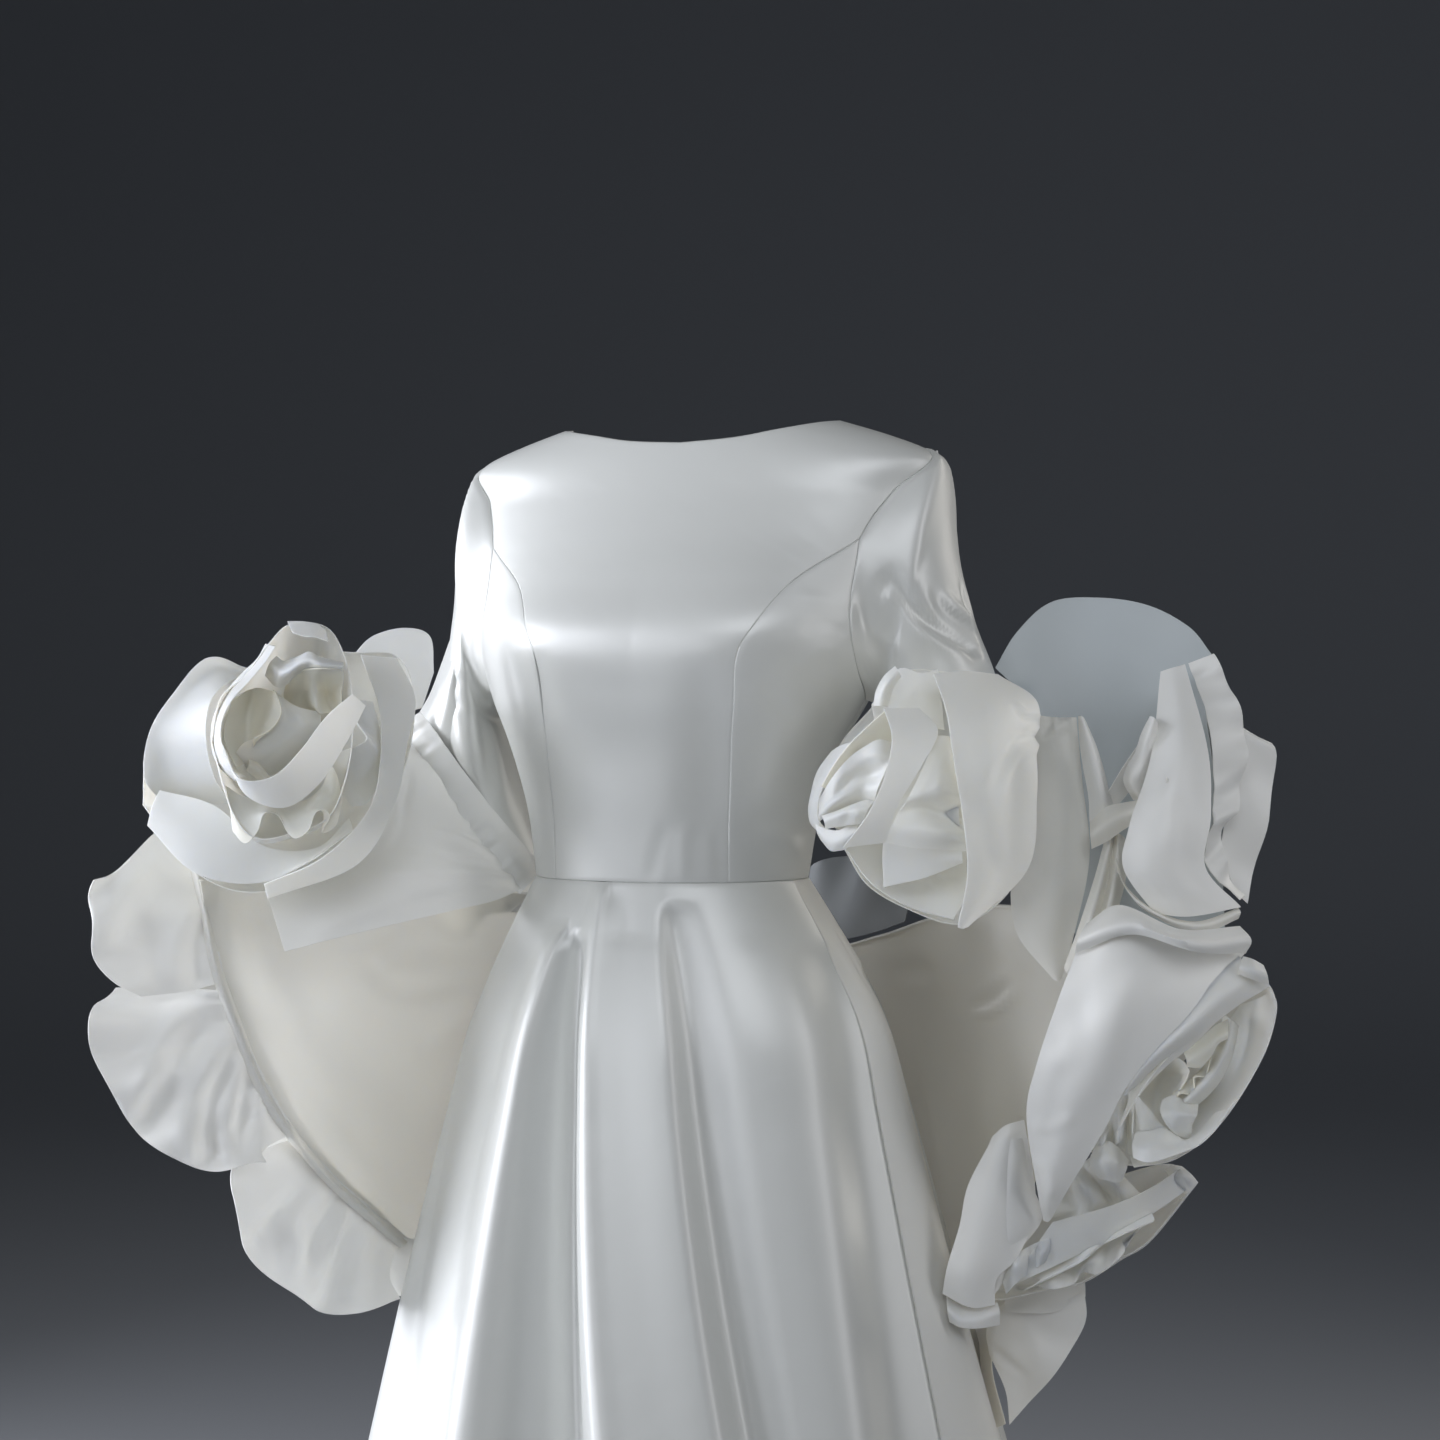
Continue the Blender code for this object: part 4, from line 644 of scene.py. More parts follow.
    "left_fold_side": ("left_fold", "petal", [
        [(236, -110, -591), (228, -114, -624), (221, -116, -655), (220, -114, -696), (223, -110, -721)],
        [(246, -110, -591), (243, -118, -623), (242, -120, -655), (234, -118, -689), (228, -112, -716)],
        [(256, -104, -591), (259, -106, -627), (267, -108, -655), (248, -110, -682), (233, -110, -710)],
    ]),
    "left_end_flounce_head": ("left_end_flounce", "petal", [
        [(243, -44, -727), (265, -46, -722), (286, -48, -717), (310, -46, -705)],
        [(245, -46, -745), (264, -52, -745), (285, -54, -743), (310, -52, -731)],
    ]),
    "left_strand_long": ("left_inner_fold", "inner", [
        [(318, -112, -347), (311, -114, -373), (303, -116, -398), (293, -120, -426), (283, -124, -452)],
        [(321, -122, -345), (315, -124, -372), (308, -126, -399), (298, -130, -428), (284, -134, -456)],
        [(325, -112, -344), (321, -114, -373), (315, -116, -400), (306, -120, -429), (287, -126, -459)],
        [(327, -122, -345), (325, -124, -372), (319, -126, -401), (311, -130, -428), (289, -134, -456)],
        [(333, -112, -349), (334, -114, -376), (328, -116, -402), (318, -120, -427), (295, -126, -454)],
    ]),
    "left_strand_sash": ("left_inner_fold", "inner", [
        [(304, -122, -336), (316, -126, -324), (330, -130, -320), (343, -136, -317), (353, -142, -308),
         (359, -146, -297)],
        [(303, -130, -346), (314, -136, -337), (328, -140, -329), (341, -146, -324), (353, -152, -314),
         (361, -154, -301)],
        [(305, -122, -357), (316, -128, -351), (328, -132, -342), (341, -138, -333), (353, -144, -322),
         (362, -148, -308)],
    ]),
    "left_strand_petal": ("left_inner_fold", "petal", [
        [(352, -122, -251), (345, -122, -265), (340, -122, -280), (333, -122, -292), (331, -122, -304),
         (339, -120, -318)],
        [(353, -134, -252), (348, -136, -268), (345, -132, -283), (338, -136, -295), (337, -134, -307),
         (344, -130, -319)],
        [(357, -126, -256), (357, -124, -272), (357, -124, -286), (354, -126, -299), (351, -126, -308),
         (351, -124, -318)],
    ]),
    "left_strand_left": ("left_inner_fold", "petal", [
        [(296, -112, -251), (297, -112, -272), (300, -112, -293), (304, -112, -315), (305, -112, -336)],
        [(298, -118, -251), (304, -120, -272), (309, -120, -292), (314, -120, -312), (317, -118, -328)],
        [(302, -112, -256), (310, -112, -275), (316, -112, -294), (320, -112, -310), (324, -112, -323)],
    ]),
    "left_puff_lip": ("left_puff", "inner", [
        [(323, -132, -364), (328, -140, -383), (341, -148, -398), (361, -152, -409), (386, -152, -413),
         (418, -144, -403)],
        [(322, -142, -373), (331, -150, -391), (346, -158, -404), (366, -160, -413), (389, -158, -415),
         (419, -148, -406)],
        [(326, -136, -378), (337, -146, -398), (353, -154, -410), (373, -156, -419), (394, -154, -420),
         (418, -144, -411)],
    ]),
    "drape_edge": ("drape_right", "inner", [
        [(-430, -66, -367), (-414, -90, -412), (-405, -98, -454), (-391, -92, -502), (-369, -88, -556),
         (-346, -78, -596), (-317, -54, -638), (-291, -26, -670), (-266, 16, -704)],
        [(-424, -72, -366), (-409, -97, -411), (-399, -106, -452), (-385, -100, -498),
         (-363, -92, -553), (-340, -80, -594), (-312, -58, -634), (-286, -26, -667), (-261, 14, -701)],
        [(-420, -64, -366), (-408, -80, -412), (-399, -84, -452), (-384, -76, -498), (-365, -62, -553),
         (-342, -48, -595), (-314, -20, -637), (-289, 20, -671), (-263, 60, -707)],
    ]),
    "flounce_head_2": ("flounce_right_2", "petal", [
        [(-434, -92, -473), (-417, -88, -469), (-398, -84, -461)],
        [(-433, -92, -486), (-412, -88, -485), (-393, -80, -483)],
    ]),
    "flap_pucker": ("drape_flap", "petal", [
        [(-252, 48, -247), (-238, 42, -264), (-222, 38, -286), (-199, 30, -316), (-177, 29, -343),
         (-158, 37, -366), (-145, 48, -386)],
        [(-259, 50, -251), (-248, 45, -268), (-233, 40, -289), (-209, 23, -323), (-188, 15, -351),
         (-169, 18, -374), (-154, 32, -392)],
        [(-269, 56, -256), (-260, 52, -273), (-247, 46, -292), (-222, 18, -329), (-202, 7, -358),
         (-183, 12, -382), (-164, 26, -403)],
    ]),
    "drape_top": ("drape_right", "inner", [
        [(-242, 84, -411), (-214, 100, -366), (-183, 118, -342), (-149, 134, -337), (-108, 148, -364),
         (-72, 160, -410)],
        [(-240, 92, -424), (-213, 104, -396), (-182, 120, -381), (-147, 136, -380), (-108, 150, -395),
         (-76, 162, -423)],
        [(-235, 96, -436), (-209, 108, -426), (-180, 124, -426), (-147, 140, -429), (-110, 152, -433),
         (-82, 164, -442)],
    ]),
    "flounce_turn": ("left_end_flounce", "inner", [
        [(252, -40, -737), (235, -28, -788), (246, -32, -842)],
        [(252, 30, -752), (232, 40, -806), (242, 40, -867)],
        [(243, 105, -769), (223, 115, -827), (235, 115, -896)],
    ]),
    "sleeve_hem": ("sleeve_right", "outer", [
        [(-226, 60, -181), (-237, 72, -208), (-247, 82, -231), (-258, 88, -250), (-266, 90, -272),
         (-269, 90, -293)],
        [(-222, 45, -183), (-229, 46, -210), (-238, 52, -233), (-247, 58, -254), (-255, 62, -275),
         (-258, 66, -296)],
        [(-216, 32, -185), (-222, 28, -212), (-228, 36, -236), (-234, 42, -257), (-241, 52, -278),
         (-243, 58, -298)],
        [(-209, 28, -187), (-212, 30, -214), (-216, 34, -239), (-220, 38, -261), (-224, 46, -282),
         (-227, 54, -301)],
    ]),
    "flounce_end_3": ("flounce_right_3", "petal", [
        [(-275, 26, -696), (-262, 34, -700), (-248, 42, -703)],
        [(-278, 4, -719), (-264, 14, -724), (-250, 26, -729)],
        [(-267, 0, -742), (-258, 10, -744), (-249, 22, -745)],
    ]),
    "flounce_head_3": ("flounce_right_3", "petal", [
        [(-383, -52, -590), (-365, -50, -587), (-348, -46, -586)],
        [(-379, -58, -602), (-362, -56, -601), (-347, -52, -600)],
        [(-373, -62, -615), (-359, -60, -615), (-346, -56, -614)],
    ]),
}
# Fullness where the sleeve is set in, and the length over which it fades down the sleeve
SLEEVE_HEAD = dict(rise=3.0, fade=26.0)
RIM_ANGLE = 80.0          # degrees: the cut edges of the cloth are sharper than this
# A seamed or hemmed edge: where the cloth starts to roll, how low it lies on the edge, and the turned
# allowance behind it as (in from the edge, below the cloth)
EDGE_ROLL = 1.1
EDGE_LOW = 0.3
TURNED = [(0.1, 1.6), (1.0, 3.4)]
SOFT = {
    # name: how uneven the hanging cloth is, and over what size
    "sleeve_right": (1.2, 45.0),
    "sleeve_left": (1.2, 45.0),
    "drape_right": (2.0, 90.0),
    "drape_left": (2.0, 80.0),
    "drape_back": (2.0, 120.0),
    "skirt_back_left": (1.2, 150.0),
    "skirt_back_right": (1.2, 150.0),
}
FADE = 0.35               # share of a crease over which it fades at an end
CREASES = {
    # name: width, depth (a ridge stands out, a trough is below 0), ends at which it fades,
    # line as shares of the piece's width and height
    "bodice_front": [
        (20, -3, "both", [(0.804, 0.478), (0.859, 0.367), (0.88, 0.178), (0.87, 0.056)]),
        (11, -1.2, "both", [(0.033, 0.5), (0.033, 0.422), (0.076, 0.333)]),
        (5, -0.7, "end", [(0.957, 0.022), (0.946, 0.067), (0.924, 0.111)]),
        (6, 0.8, "end", [(0.761, 0.022), (0.761, 0.067), (0.783, 0.133)]),
        (6, -0.6, "end", [(0.609, 0.022), (0.641, 0.078), (0.685, 0.133)]),
    ],
    "bodice_side_front_left": [
        (9, -1.4, "both", [(0.161, 0.627), (0.29, 0.597), (0.484, 0.612)]),
        (5, 0.9, "both", [(0.581, 0.925), (0.419, 0.836), (0.323, 0.731)]),
        (5, -0.8, "end", [(0.484, 0.955), (0.323, 0.881), (0.258, 0.806)]),
        (5, 0.7, "end", [(0.355, 0.985), (0.226, 0.91), (0.065, 0.851)]),
        (5, -0.7, "both", [(0.871, 0.746), (0.613, 0.716), (0.419, 0.701)]),
        (7, 0.8, "both", [(0.871, 0.119), (0.516, 0.164), (0.226, 0.164)]),
    ],
    "bodice_side_front_right": [
        (7, -1, "both", [(0.839, 0.776), (0.742, 0.642), (0.742, 0.493)]),
    ],
    "skirt_side_left": [
        (4, -1.2, "both", [(0.444, 0.958), (0.444, 0.917), (0.389, 0.875)]),
        (4, 1, "both", [(0.472, 0.892), (0.361, 0.808), (0.333, 0.717)]),
        (5, -1, "both", [(0.389, 0.817), (0.361, 0.783), (0.333, 0.742)]),
    ],
    "drape_right": [
        (20, 4.5, "both", [(0.093, 0.06), (0.148, 0.262), (0.259, 0.464), (0.481, 0.619)]),
        (14, -3, "both", [(0.056, 0.06), (0.074, 0.226), (0.13, 0.369)]),
        (18, -4, "both", [(0.019, 0.333), (0.056, 0.488), (0.148, 0.631), (0.333, 0.798)]),
        (8, 2.2, "both", [(0.296, 0.167), (0.463, 0.155), (0.611, 0.107), (0.741, 0.083)]),
        (9, -2, "both", [(0.426, 0.155), (0.5, 0.226), (0.685, 0.226), (0.833, 0.202)]),
        (14, -2.5, "both", [(0.556, 0.381), (0.667, 0.345), (0.833, 0.274)]),
        (6, 1.5, "both", [(0.63, 0.107), (0.741, 0.119), (0.852, 0.107)]),
    ],
    "flounce_right_1": [
        (12, -5, "both", [(0.116, 0.323), (0.233, 0.742), (0.419, 0.903), (0.605, 0.871)]),
        (16, 4, "both", [(0.349, 0.161), (0.419, 0.516), (0.628, 0.677)]),
        (10, -3, "start", [(0.535, 0.032), (0.651, 0.29), (0.86, 0.452)]),
        (9, 2.5, "start", [(0.628, 0), (0.791, 0.129), (0.93, 0.194)]),
    ],
    "flounce_right_2": [
        (12, 5, "start", [(0.137, 0.03), (0.329, 0.394), (0.507, 0.788), (0.548, 0.909)]),
        (10, -4, "start", [(0.055, 0.061), (0.205, 0.424), (0.411, 0.758), (0.493, 0.939)]),
        (10, -4.5, "start", [(0.233, 0.03), (0.466, 0.364), (0.63, 0.667), (0.726, 0.879)]),
        (9, 4, "start", [(0.315, 0.03), (0.562, 0.333), (0.726, 0.636), (0.808, 0.818)]),
        (8, -3.5, "start", [(0.397, 0.03), (0.63, 0.273), (0.822, 0.636)]),
        (9, 3.5, "start", [(0.507, 0.03), (0.726, 0.273), (0.904, 0.697)]),
        (8, -3, "start", [(0.616, 0.03), (0.808, 0.212), (0.973, 0.727)]),
    ],
    "flounce_right_3": [
        (10, 6.5, "start", [(0.234, 0), (0.273, 0.222), (0.299, 0.556), (0.338, 0.852)]),
        (10, -6, "start", [(0.247, 0), (0.312, 0.296), (0.351, 0.519), (0.442, 0.63), (0.532, 0.778)]),
        (8, 6, "start", [(0.403, 0), (0.481, 0.296), (0.506, 0.519), (0.545, 0.778)]),
        (10, -4.5, "start", [(0.494, 0.037), (0.545, 0.296), (0.636, 0.593), (0.662, 0.815)]),
        (11, 4.5, "start", [(0.584, 0.037), (0.636, 0.333), (0.688, 0.63), (0.688, 0.889)]),
        (10, -3.5, "start", [(0.701, 0.037), (0.753, 0.333), (0.779, 0.778)]),
        (10, 3, "start", [(0.87, 0.037), (0.909, 0.444), (0.896, 0.852)]),
    ],
    "rose_right_cup": [
        (9, -4, "both", [(0.092, 0.774), (0.046, 0.623), (0.99, 0.491), (0.934, 0.358)]),
        (7, 3, "both", [(0.046, 1), (0.005, 0.604), (0.934, 0.453)]),
    ],
    "drape_flap": [
        (4, -1.6, "end", [(0.917, 0.943), (0.625, 0.811), (0.403, 0.736)]),
        (4, 1.4, "end", [(0.931, 0.887), (0.681, 0.755), (0.569, 0.585)]),
        (4, -1.4, "end", [(0.903, 0.792), (0.806, 0.642), (0.667, 0.528)]),
        (5, 1.6, "end", [(0.903, 0.962), (0.639, 0.925), (0.361, 0.925)]),
        (4, -1.5, "both", [(0.542, 0.208), (0.583, 0.396), (0.458, 0.604)]),
        (4, 1.3, "both", [(0.722, 0.151), (0.639, 0.302), (0.569, 0.453)]),
        (8, -1.6, "both", [(0.069, 0.981), (0.278, 0.906), (0.458, 0.887)]),
    ],
    "sleeve_right": [
        (9, -3, "both", [(0.56, 0.216), (0.582, 0.49), (0.648, 0.824)]),
        (5, 1.6, "both", [(0.835, 0.667), (0.714, 0.431), (0.582, 0.196)]),
        (7, -1.8, "both", [(0.835, 0.784), (0.758, 0.647), (0.648, 0.51)]),
    ],
    "sleeve_left": [
        (9.2, -6.8, "start", [(0.264, 0.133), (0.253, 0.378), (0.176, 0.6), (0.088, 0.756)]),
        (5.8, 4.5, "end", [(0.286, 0.222), (0.231, 0.511), (0.143, 0.711), (0.033, 0.844)]),
        (5.8, -3.8, "both", [(0.176, 0.444), (0.121, 0.6), (0.022, 0.733)]),
        (5.8, 3.8, "both", [(0.132, 0.511), (0.077, 0.6), (0.011, 0.711)]),
        (5.8, -3, "both", [(0.022, 0.511), (0.011, 0.6), (0.011, 0.667)]),
        (6.9, 2.2, "both", [(0.363, 0.089), (0.352, 0.289), (0.286, 0.533)]),
        (6.9, -2.7, "both", [(0.33, 0.044), (0.363, 0.178), (0.352, 0.4)]),
    ],
    "rose_left_band": [
        (4, -3, "end", [(0.29, 1), (0.319, 0.692), (0.406, 0.423), (0.507, 0.269)]),
        (4, 2, "end", [(0.319, 1), (0.362, 0.731), (0.435, 0.5), (0.536, 0.346)]),
        (3, -1.5, "end", [(0.232, 0.962), (0.232, 0.769), (0.188, 0.654)]),
        (3, 1.5, "end", [(0.217, 0.962), (0.203, 0.808), (0.159, 0.731)]),
        (8, -1.5, "both", [(0.536, 0.192), (0.681, 0.231), (0.812, 0.654)]),
    ],
    "left_tail": [
        (4, -2.5, "start", [(0.478, 0.119), (0.652, 0.045), (0.957, 0)]),
        (4, 2, "start", [(0.435, 0.104), (0.565, 0.03), (0.87, 0)]),
        (9, 2, "both", [(0.696, 0.94), (0.913, 0.791), (0.913, 0.642)]),
    ],
    "left_puff": [
        (10.4, -1.2, "both", [(0.259, 0.385), (0.296, 0.508), (0.111, 0.6), (0.111, 0.708)]),
        (6.5, -1.2, "both", [(0.148, 0.785), (0.259, 0.831), (0.296, 0.908)]),
        (6.5, -1, "both", [(0, 0.846), (0, 0.969), (0.296, 0.985), (0.519, 1)]),
        (7.8, 0.8, "both", [(0.37, 0.492), (0.667, 0.6), (0.926, 0.738)]),
        (7.8, -0.8, "end", [(1, 0.985), (0.815, 0.954), (0.63, 0.862)]),
    ],
    "left_roll": [
        (4, -1.8, "both", [(0.087, 0.909), (0.196, 0.818), (0.37, 0.727), (0.543, 0.727), (0.935, 1)]),
        (4, 1.5, "both", [(0.174, 0.545), (0.413, 0.636), (0.652, 0.455)]),
    ],
    "drape_left": [
        (4, -2.8, "both", [(0.648, 0.262), (0.759, 0.25), (0.833, 0.19)]),
        (5, 3, "both", [(0.648, 0.25), (0.722, 0.226), (0.796, 0.179)]),
        (16, 4, "both", [(0.722, 0.036), (0.722, 0.119), (0.778, 0.179)]),
        (10, 2.5, "both", [(0.315, 0.095), (0.5, 0.131), (0.556, 0.19), (0.63, 0.25)]),
        (14, -3, "both", [(0.444, 0.179), (0.481, 0.298), (0.463, 0.464)]),
        (18, 3, "both", [(0.611, 0.298), (0.648, 0.44), (0.574, 0.583)]),
        (12, -3, "both", [(0.778, 0.036), (0.833, 0.119), (0.852, 0.167)]),
        (12, -2, "both", [(0.519, 0.429), (0.519, 0.56), (0.519, 0.69)]),
    ],
    "left_panel": [
        (9, -1, "start", [(0.048, 0.38), (0.262, 0.418), (0.262, 0.342)]),
        (10, 0.8, "start", [(0, 0.329), (0.119, 0.329), (0.143, 0.228)]),
        (9, 1.2, "both", [(0.119, 0.076), (0.262, 0.291), (0.333, 0.532), (0.214, 0.785)]),
        (5, -0.9, "start", [(0.071, 0.62), (0.286, 0.658), (0.524, 0.633)]),
        (5, -1.0, "start", [(0, 0.747), (0.31, 0.797), (0.524, 0.873)]),
        (4, -1.3, "both", [(0.143, 0.013), (0.381, 0), (0.548, 0)]),
        (12, -2, "both", [(0.405, 0.127), (0.571, 0.354), (0.69, 0.595)]),
    ],
    "left_end_flounce": [
        (4, -1.6, "both", [(0.795, 0), (0.769, 0.368), (0.718, 0.789)]),
        (8, 2, "both", [(0.282, 0.211), (0.41, 0.579), (0.564, 0.842)]),
    ],
    "rose_left_cup": [
        (5, -1.5, "both", [(0.656, 0.35), (0.719, 0.5), (0.812, 0.55)]),
    ],
}
# How uneven the folds of a gathered seam are: they drift along it, smaller folds ride on them, some are
# deeper than others, and they die away from the seam
UNEVEN = dict(drift=0.35, drift_turns=7.3, overtones=[(0.45, 1.73, 1.0), (0.3, 0.61, 0.0)],
              level=0.65, swell_turns=11.0, die_away=1.4)
GATHERS = {
    # name: the edge that is gathered, number of folds, depth, how far they reach, start
    "drape_flap": [("r", 8, 1.8, 14.0, 0.3)],
    "flounce_right_1": [("b", 5, 0.8, 18.0, 0.1)],
    "flounce_right_2": [("b", 8, 0.9, 18.0, 0.5)],
    "flounce_right_3": [("b", 7, 0.9, 18.0, 0.8)],
    "left_tail": [("b", 6, 1.6, 34.0, 0.2)],
    "left_flounce_1": [("b", 8, 1.2, 22.0, 0.4)],
    "drape_left": [("t", 12, 1.2, 22.0, 0.6)],
    "flap_pucker": [("t", 11, 1.5, 14.0, 0.2)],
}
# Sewn edges that run on under the cloth in front of them, and how far
TUCK_BACK = 3.0           # a tucked edge lies this far behind the cloth it runs under
TUCKED = {
    "flounce_right_1": 7.0,
    "flounce_right_2": 7.0,
    "flounce_right_3": 7.0,
    "left_panel": 8.0,
    "left_end_flounce": 5.0,
    "left_fold": 6.0,
}
# Pieces that show another side of the satin, or a darker grey copy of it as painted shade
SATIN_OF = {
    "skirt_side_left": "inner",
    # painted shade: darker grey satin where the back petal lies in shade
    "left_back_petal": "pearl",
    # painted shadow: dark grey satin where the back ruffle lies in the body's shadow
    "back_ruffle": "shade",
    "left_tail": "inner",
}
PIECES = []               # each piece made: the part it stands for, its object, slot name, width, length and area, in the order in which they are made

# The weave: thread pitch and float length of a heavy satin, and the slight cockle of cloth that has hung
SATIN = dict(shine=1.0, sheen=0.03, sheen_roughness=0.4, glow_depth=8.0, glow_spread=(1.0, 0.9, 0.75),
             warp_pitch=0.35, float_length=2.2, weave_strength=0.12, weave_height=0.05,
             cockle_size=28.0, cockle_strength=0.25, cockle_height=1.0)
SATIN_KINDS = {
    # key: name, colour, roughness, pull of the shine along the warp, glow of light in the cloth, IOR
    # the face of the duchesse, pressed flat: cool ivory with long bright highlights down each fold
    "outer": ("ivory_duchesse_satin", "#d8d9d5", 0.4, 0.4, 0.05, 1.8),
    # single petals let some light through: whiter, with softer highlights
    "petal": ("ivory_petal_satin", "#f3f2ed", 0.47, 0.4, 0.3, 1.5),
    # petals that lie close together pass light to each other: warm and bright, hardly any shine
    "rose": ("ivory_rose_satin", "#f9f7ec", 0.5, 0.2, 0.9, 1.5),
    # painted shade: a darker, bluish grey copy of the satin for the back petal, where it lies in shade
    "pearl": ("pearl_grey_satin_painted_shade", "#bdc5c9", 0.5, 0.2, 0.05, 1.5),
    # painted shadow: a dark grey copy of the satin for the back ruffle, which lies in the shadow of the
    # body
    "shade": ("dark_grey_satin_painted_shadow", "#6f7477", 0.6, 0.2, 0.05, 1.5),
    # the reverse of the drape: creamy and matt, lit from behind
    "inner": ("cream_satin_reverse", "#f6f2e6", 0.5, 0.2, 0.5, 1.5),
    # the innermost petals: the warmest cream, glowing
    "heart": ("cream_heart_satin", "#fbf2da", 0.5, 0.2, 0.9, 1.5),
}

# The studio: paper floor, the little light in the air, soft boxes and the camera
FLOOR = dict(rings=[(0.0, 0.0), (5000.0, 0.0), (8000.0, 100.0), (9600.0, 900.0), (10400.0, 2500.0),
                    (10700.0, 8000.0)],
             steps=24, sides=64, below=2.0, colour="#a8abb0", roughness=0.9)
AIR = dict(colour="#aab0b8", strength=0.1)
LIGHTS = [
    # name, place and aim (across, away, up), size in metres, spread, power, colour
    ("key_box", (-2500, -330, 0), (0, 0, -600), (0.8, 2.0), 180.0, 62.0, "#f4f7ff"),
    ("strip_box", (-1950, -1450, 150), (0, 0, -500), (0.4, 1.6), 180.0, 14.0, "#f4f7ff"),
    ("rim_box", (-2250, 1300, -200), (0, 0, -600), (1.0, 2.2), 180.0, 22.0, "#f4f7ff"),
    ("front_box", (250, -2500, 1100), (60, 0, -250), (1.6, 1.2), 90.0, 5.0, "#f4f8fd"),
    ("low_box", (-1200, -2300, -300), (0, 0, -500), (0.8, 1.4), 120.0, 2.0, "#f6f9fd"),
    ("side_box", (2300, 1200, 300), (0, 0, -600), (0.5, 2.4), 180.0, 14.0, "#fffaf2"),
    ("right_box", (2100, -1300, 300), (0, 0, -500), (0.6, 2.0), 180.0, 13.0, "#fbfbfd"),
]
CAMERA = dict(sensor=36.0, lens=64.9, place=(7.6, -2200.0, -254.0))


def through(points, count):
    """A smooth curve through the points, cut into count cells of about even length."""
    points = np.asarray(points, float)
    ends = np.vstack([2 * points[0] - points[1], points, 2 * points[-1] - points[-2]])
    t = (np.arange(CURVE_STEPS) / CURVE_STEPS)[:, None]
    fine = []
    for a, b, c, d in zip(ends, ends[1:], ends[2:], ends[3:]):
        fine.append(0.5 * (2 * b + (c - a) * t + (2 * a - 5 * b + 4 * c - d) * t * t
                           + (3 * b - a - 3 * c + d) * t ** 3))
    fine = np.vstack(fine + [points[-1:]])
    length = np.concatenate([[0.0], np.cumsum(np.linalg.norm(np.diff(fine, axis=0), axis=1))])
    at = np.linspace(0.0, length[-1], count + 1)
    return np.stack([np.interp(at, length, fine[:, k]) for k in range(fine.shape[1])], axis=1)


def length_of(points):
    points = np.asarray(points, float)
    return float(np.sum(np.linalg.norm(np.diff(points, axis=0), axis=1)))


def unit(v):
    return v / np.maximum(np.linalg.norm(v, axis=-1, keepdims=True), NEVER_ZERO)


def between(t, step, low, low_slope, high, high_slope):
    """A smooth value between two rows of a table that lie a step apart and have these slopes."""
    return ((2 * t ** 3 - 3 * t * t + 1) * low + (t ** 3 - 2 * t * t + t) * step * low_slope
            + (3 * t * t - 2 * t ** 3) * high + (t ** 3 - t * t) * step * high_slope)


def section(table, height):
    """The columns of the table at these heights, smoothed between rows."""
    rows = np.asarray(sorted(table), float)
    z = rows[:, 0]
    slope = np.gradient(rows[:, 1:], z, axis=0)
    height = np.asarray(height, float)
    i = np.clip(np.searchsorted(z, height) - 1, 0, len(z) - 2)
    step = (z[i + 1] - z[i])[..., None]
    t = np.clip((height - z[i])[..., None] / step, 0.0, 1.0)
    return np.moveaxis(between(t, step, rows[i, 1:], slope[i], rows[i + 1, 1:], slope[i + 1]), -1, 0)


def round_section(table, angle, height, out, more=0.0):
    """Points round the sections of the table at the heights, moved out from them."""
    centre_x, centre_y, half, front, back = section(table, height)
    turn = np.radians(angle)
    depth = np.where(np.abs(angle) <= 90.0, front, back)
    return np.stack([centre_x + (half + out + more) * np.sin(turn),
                     centre_y - (depth + out + more) * np.cos(turn), height + 0.0 * turn], axis=-1)


def on_torso(angle, height):
    """Points of the bodice, full over the bust."""
    off = (np.abs(angle) - CUP["angle"]) / CUP["across"]
    rise = (height - CUP["height"]) / CUP["up"]
    return round_section(TORSO, angle, height, CUP["fullness"] * np.exp(-off * off - rise * rise))


def torso(points):
    points = np.asarray(points, float)
    return on_torso(points[..., 0], points[..., 1])


def folds_at(height):
    """Angle and depth of every fold at this height, once round and a little more."""
    low, top, top_height, deep = np.array(SKIRT_FOLDS, float).T
    fall = np.maximum(0.0, (top_height - height) / (top_height - LOW_FOLD))
    over = np.maximum(0.0, fall - 1.0)
    angle = low + (top - low) * (1.0 - np.minimum(1.0, fall) - FOLD_GROWTH["fan"] * over)
    depth = deep * np.minimum(1.0, fall) ** FOLD_GROWTH["early"] * (1.0 + FOLD_GROWTH["deepen"] * over)
    angle = np.concatenate([[angle[-1] - 360.0], angle, [angle[0] + 360.0]])
    return angle, np.concatenate([[depth[-1]], depth, [depth[0]]])


def fold_depth(angle, height):
    """Depth of the folds at the angles: level on crests and in valleys, a smooth slope between them."""
    centres, depths = folds_at(height)
    step = np.diff(centres)
    rise = np.diff(depths) / step
    before, after = rise[:-1], rise[1:]
    slope = np.zeros(len(centres))
    same = before * after > 0.0
    slope[1:-1][same] = (2.0 * before * after / np.where(same, before + after, 1.0))[same]
    i = np.clip(np.searchsorted(centres, angle) - 1, 0, len(centres) - 2)
    t = (angle - centres[i]) / step[i]
    return between(t, step[i], depths[i], slope[i], depths[i + 1], slope[i + 1])


def on_skirt(angle, height, out=0.0):
    """Points of the skirt; each row of the angles has one height."""
    folds = np.array([fold_depth(row, high[0]) for row, high in zip(angle, height)])
    return round_section(SKIRT, angle, height, folds, out)


def angle_at(low_angle, height):
    """The angles, at this height, of the lines down the skirt that end at the low angles."""
    return np.interp(low_angle, folds_at(LOW_FOLD)[0], folds_at(height)[0])


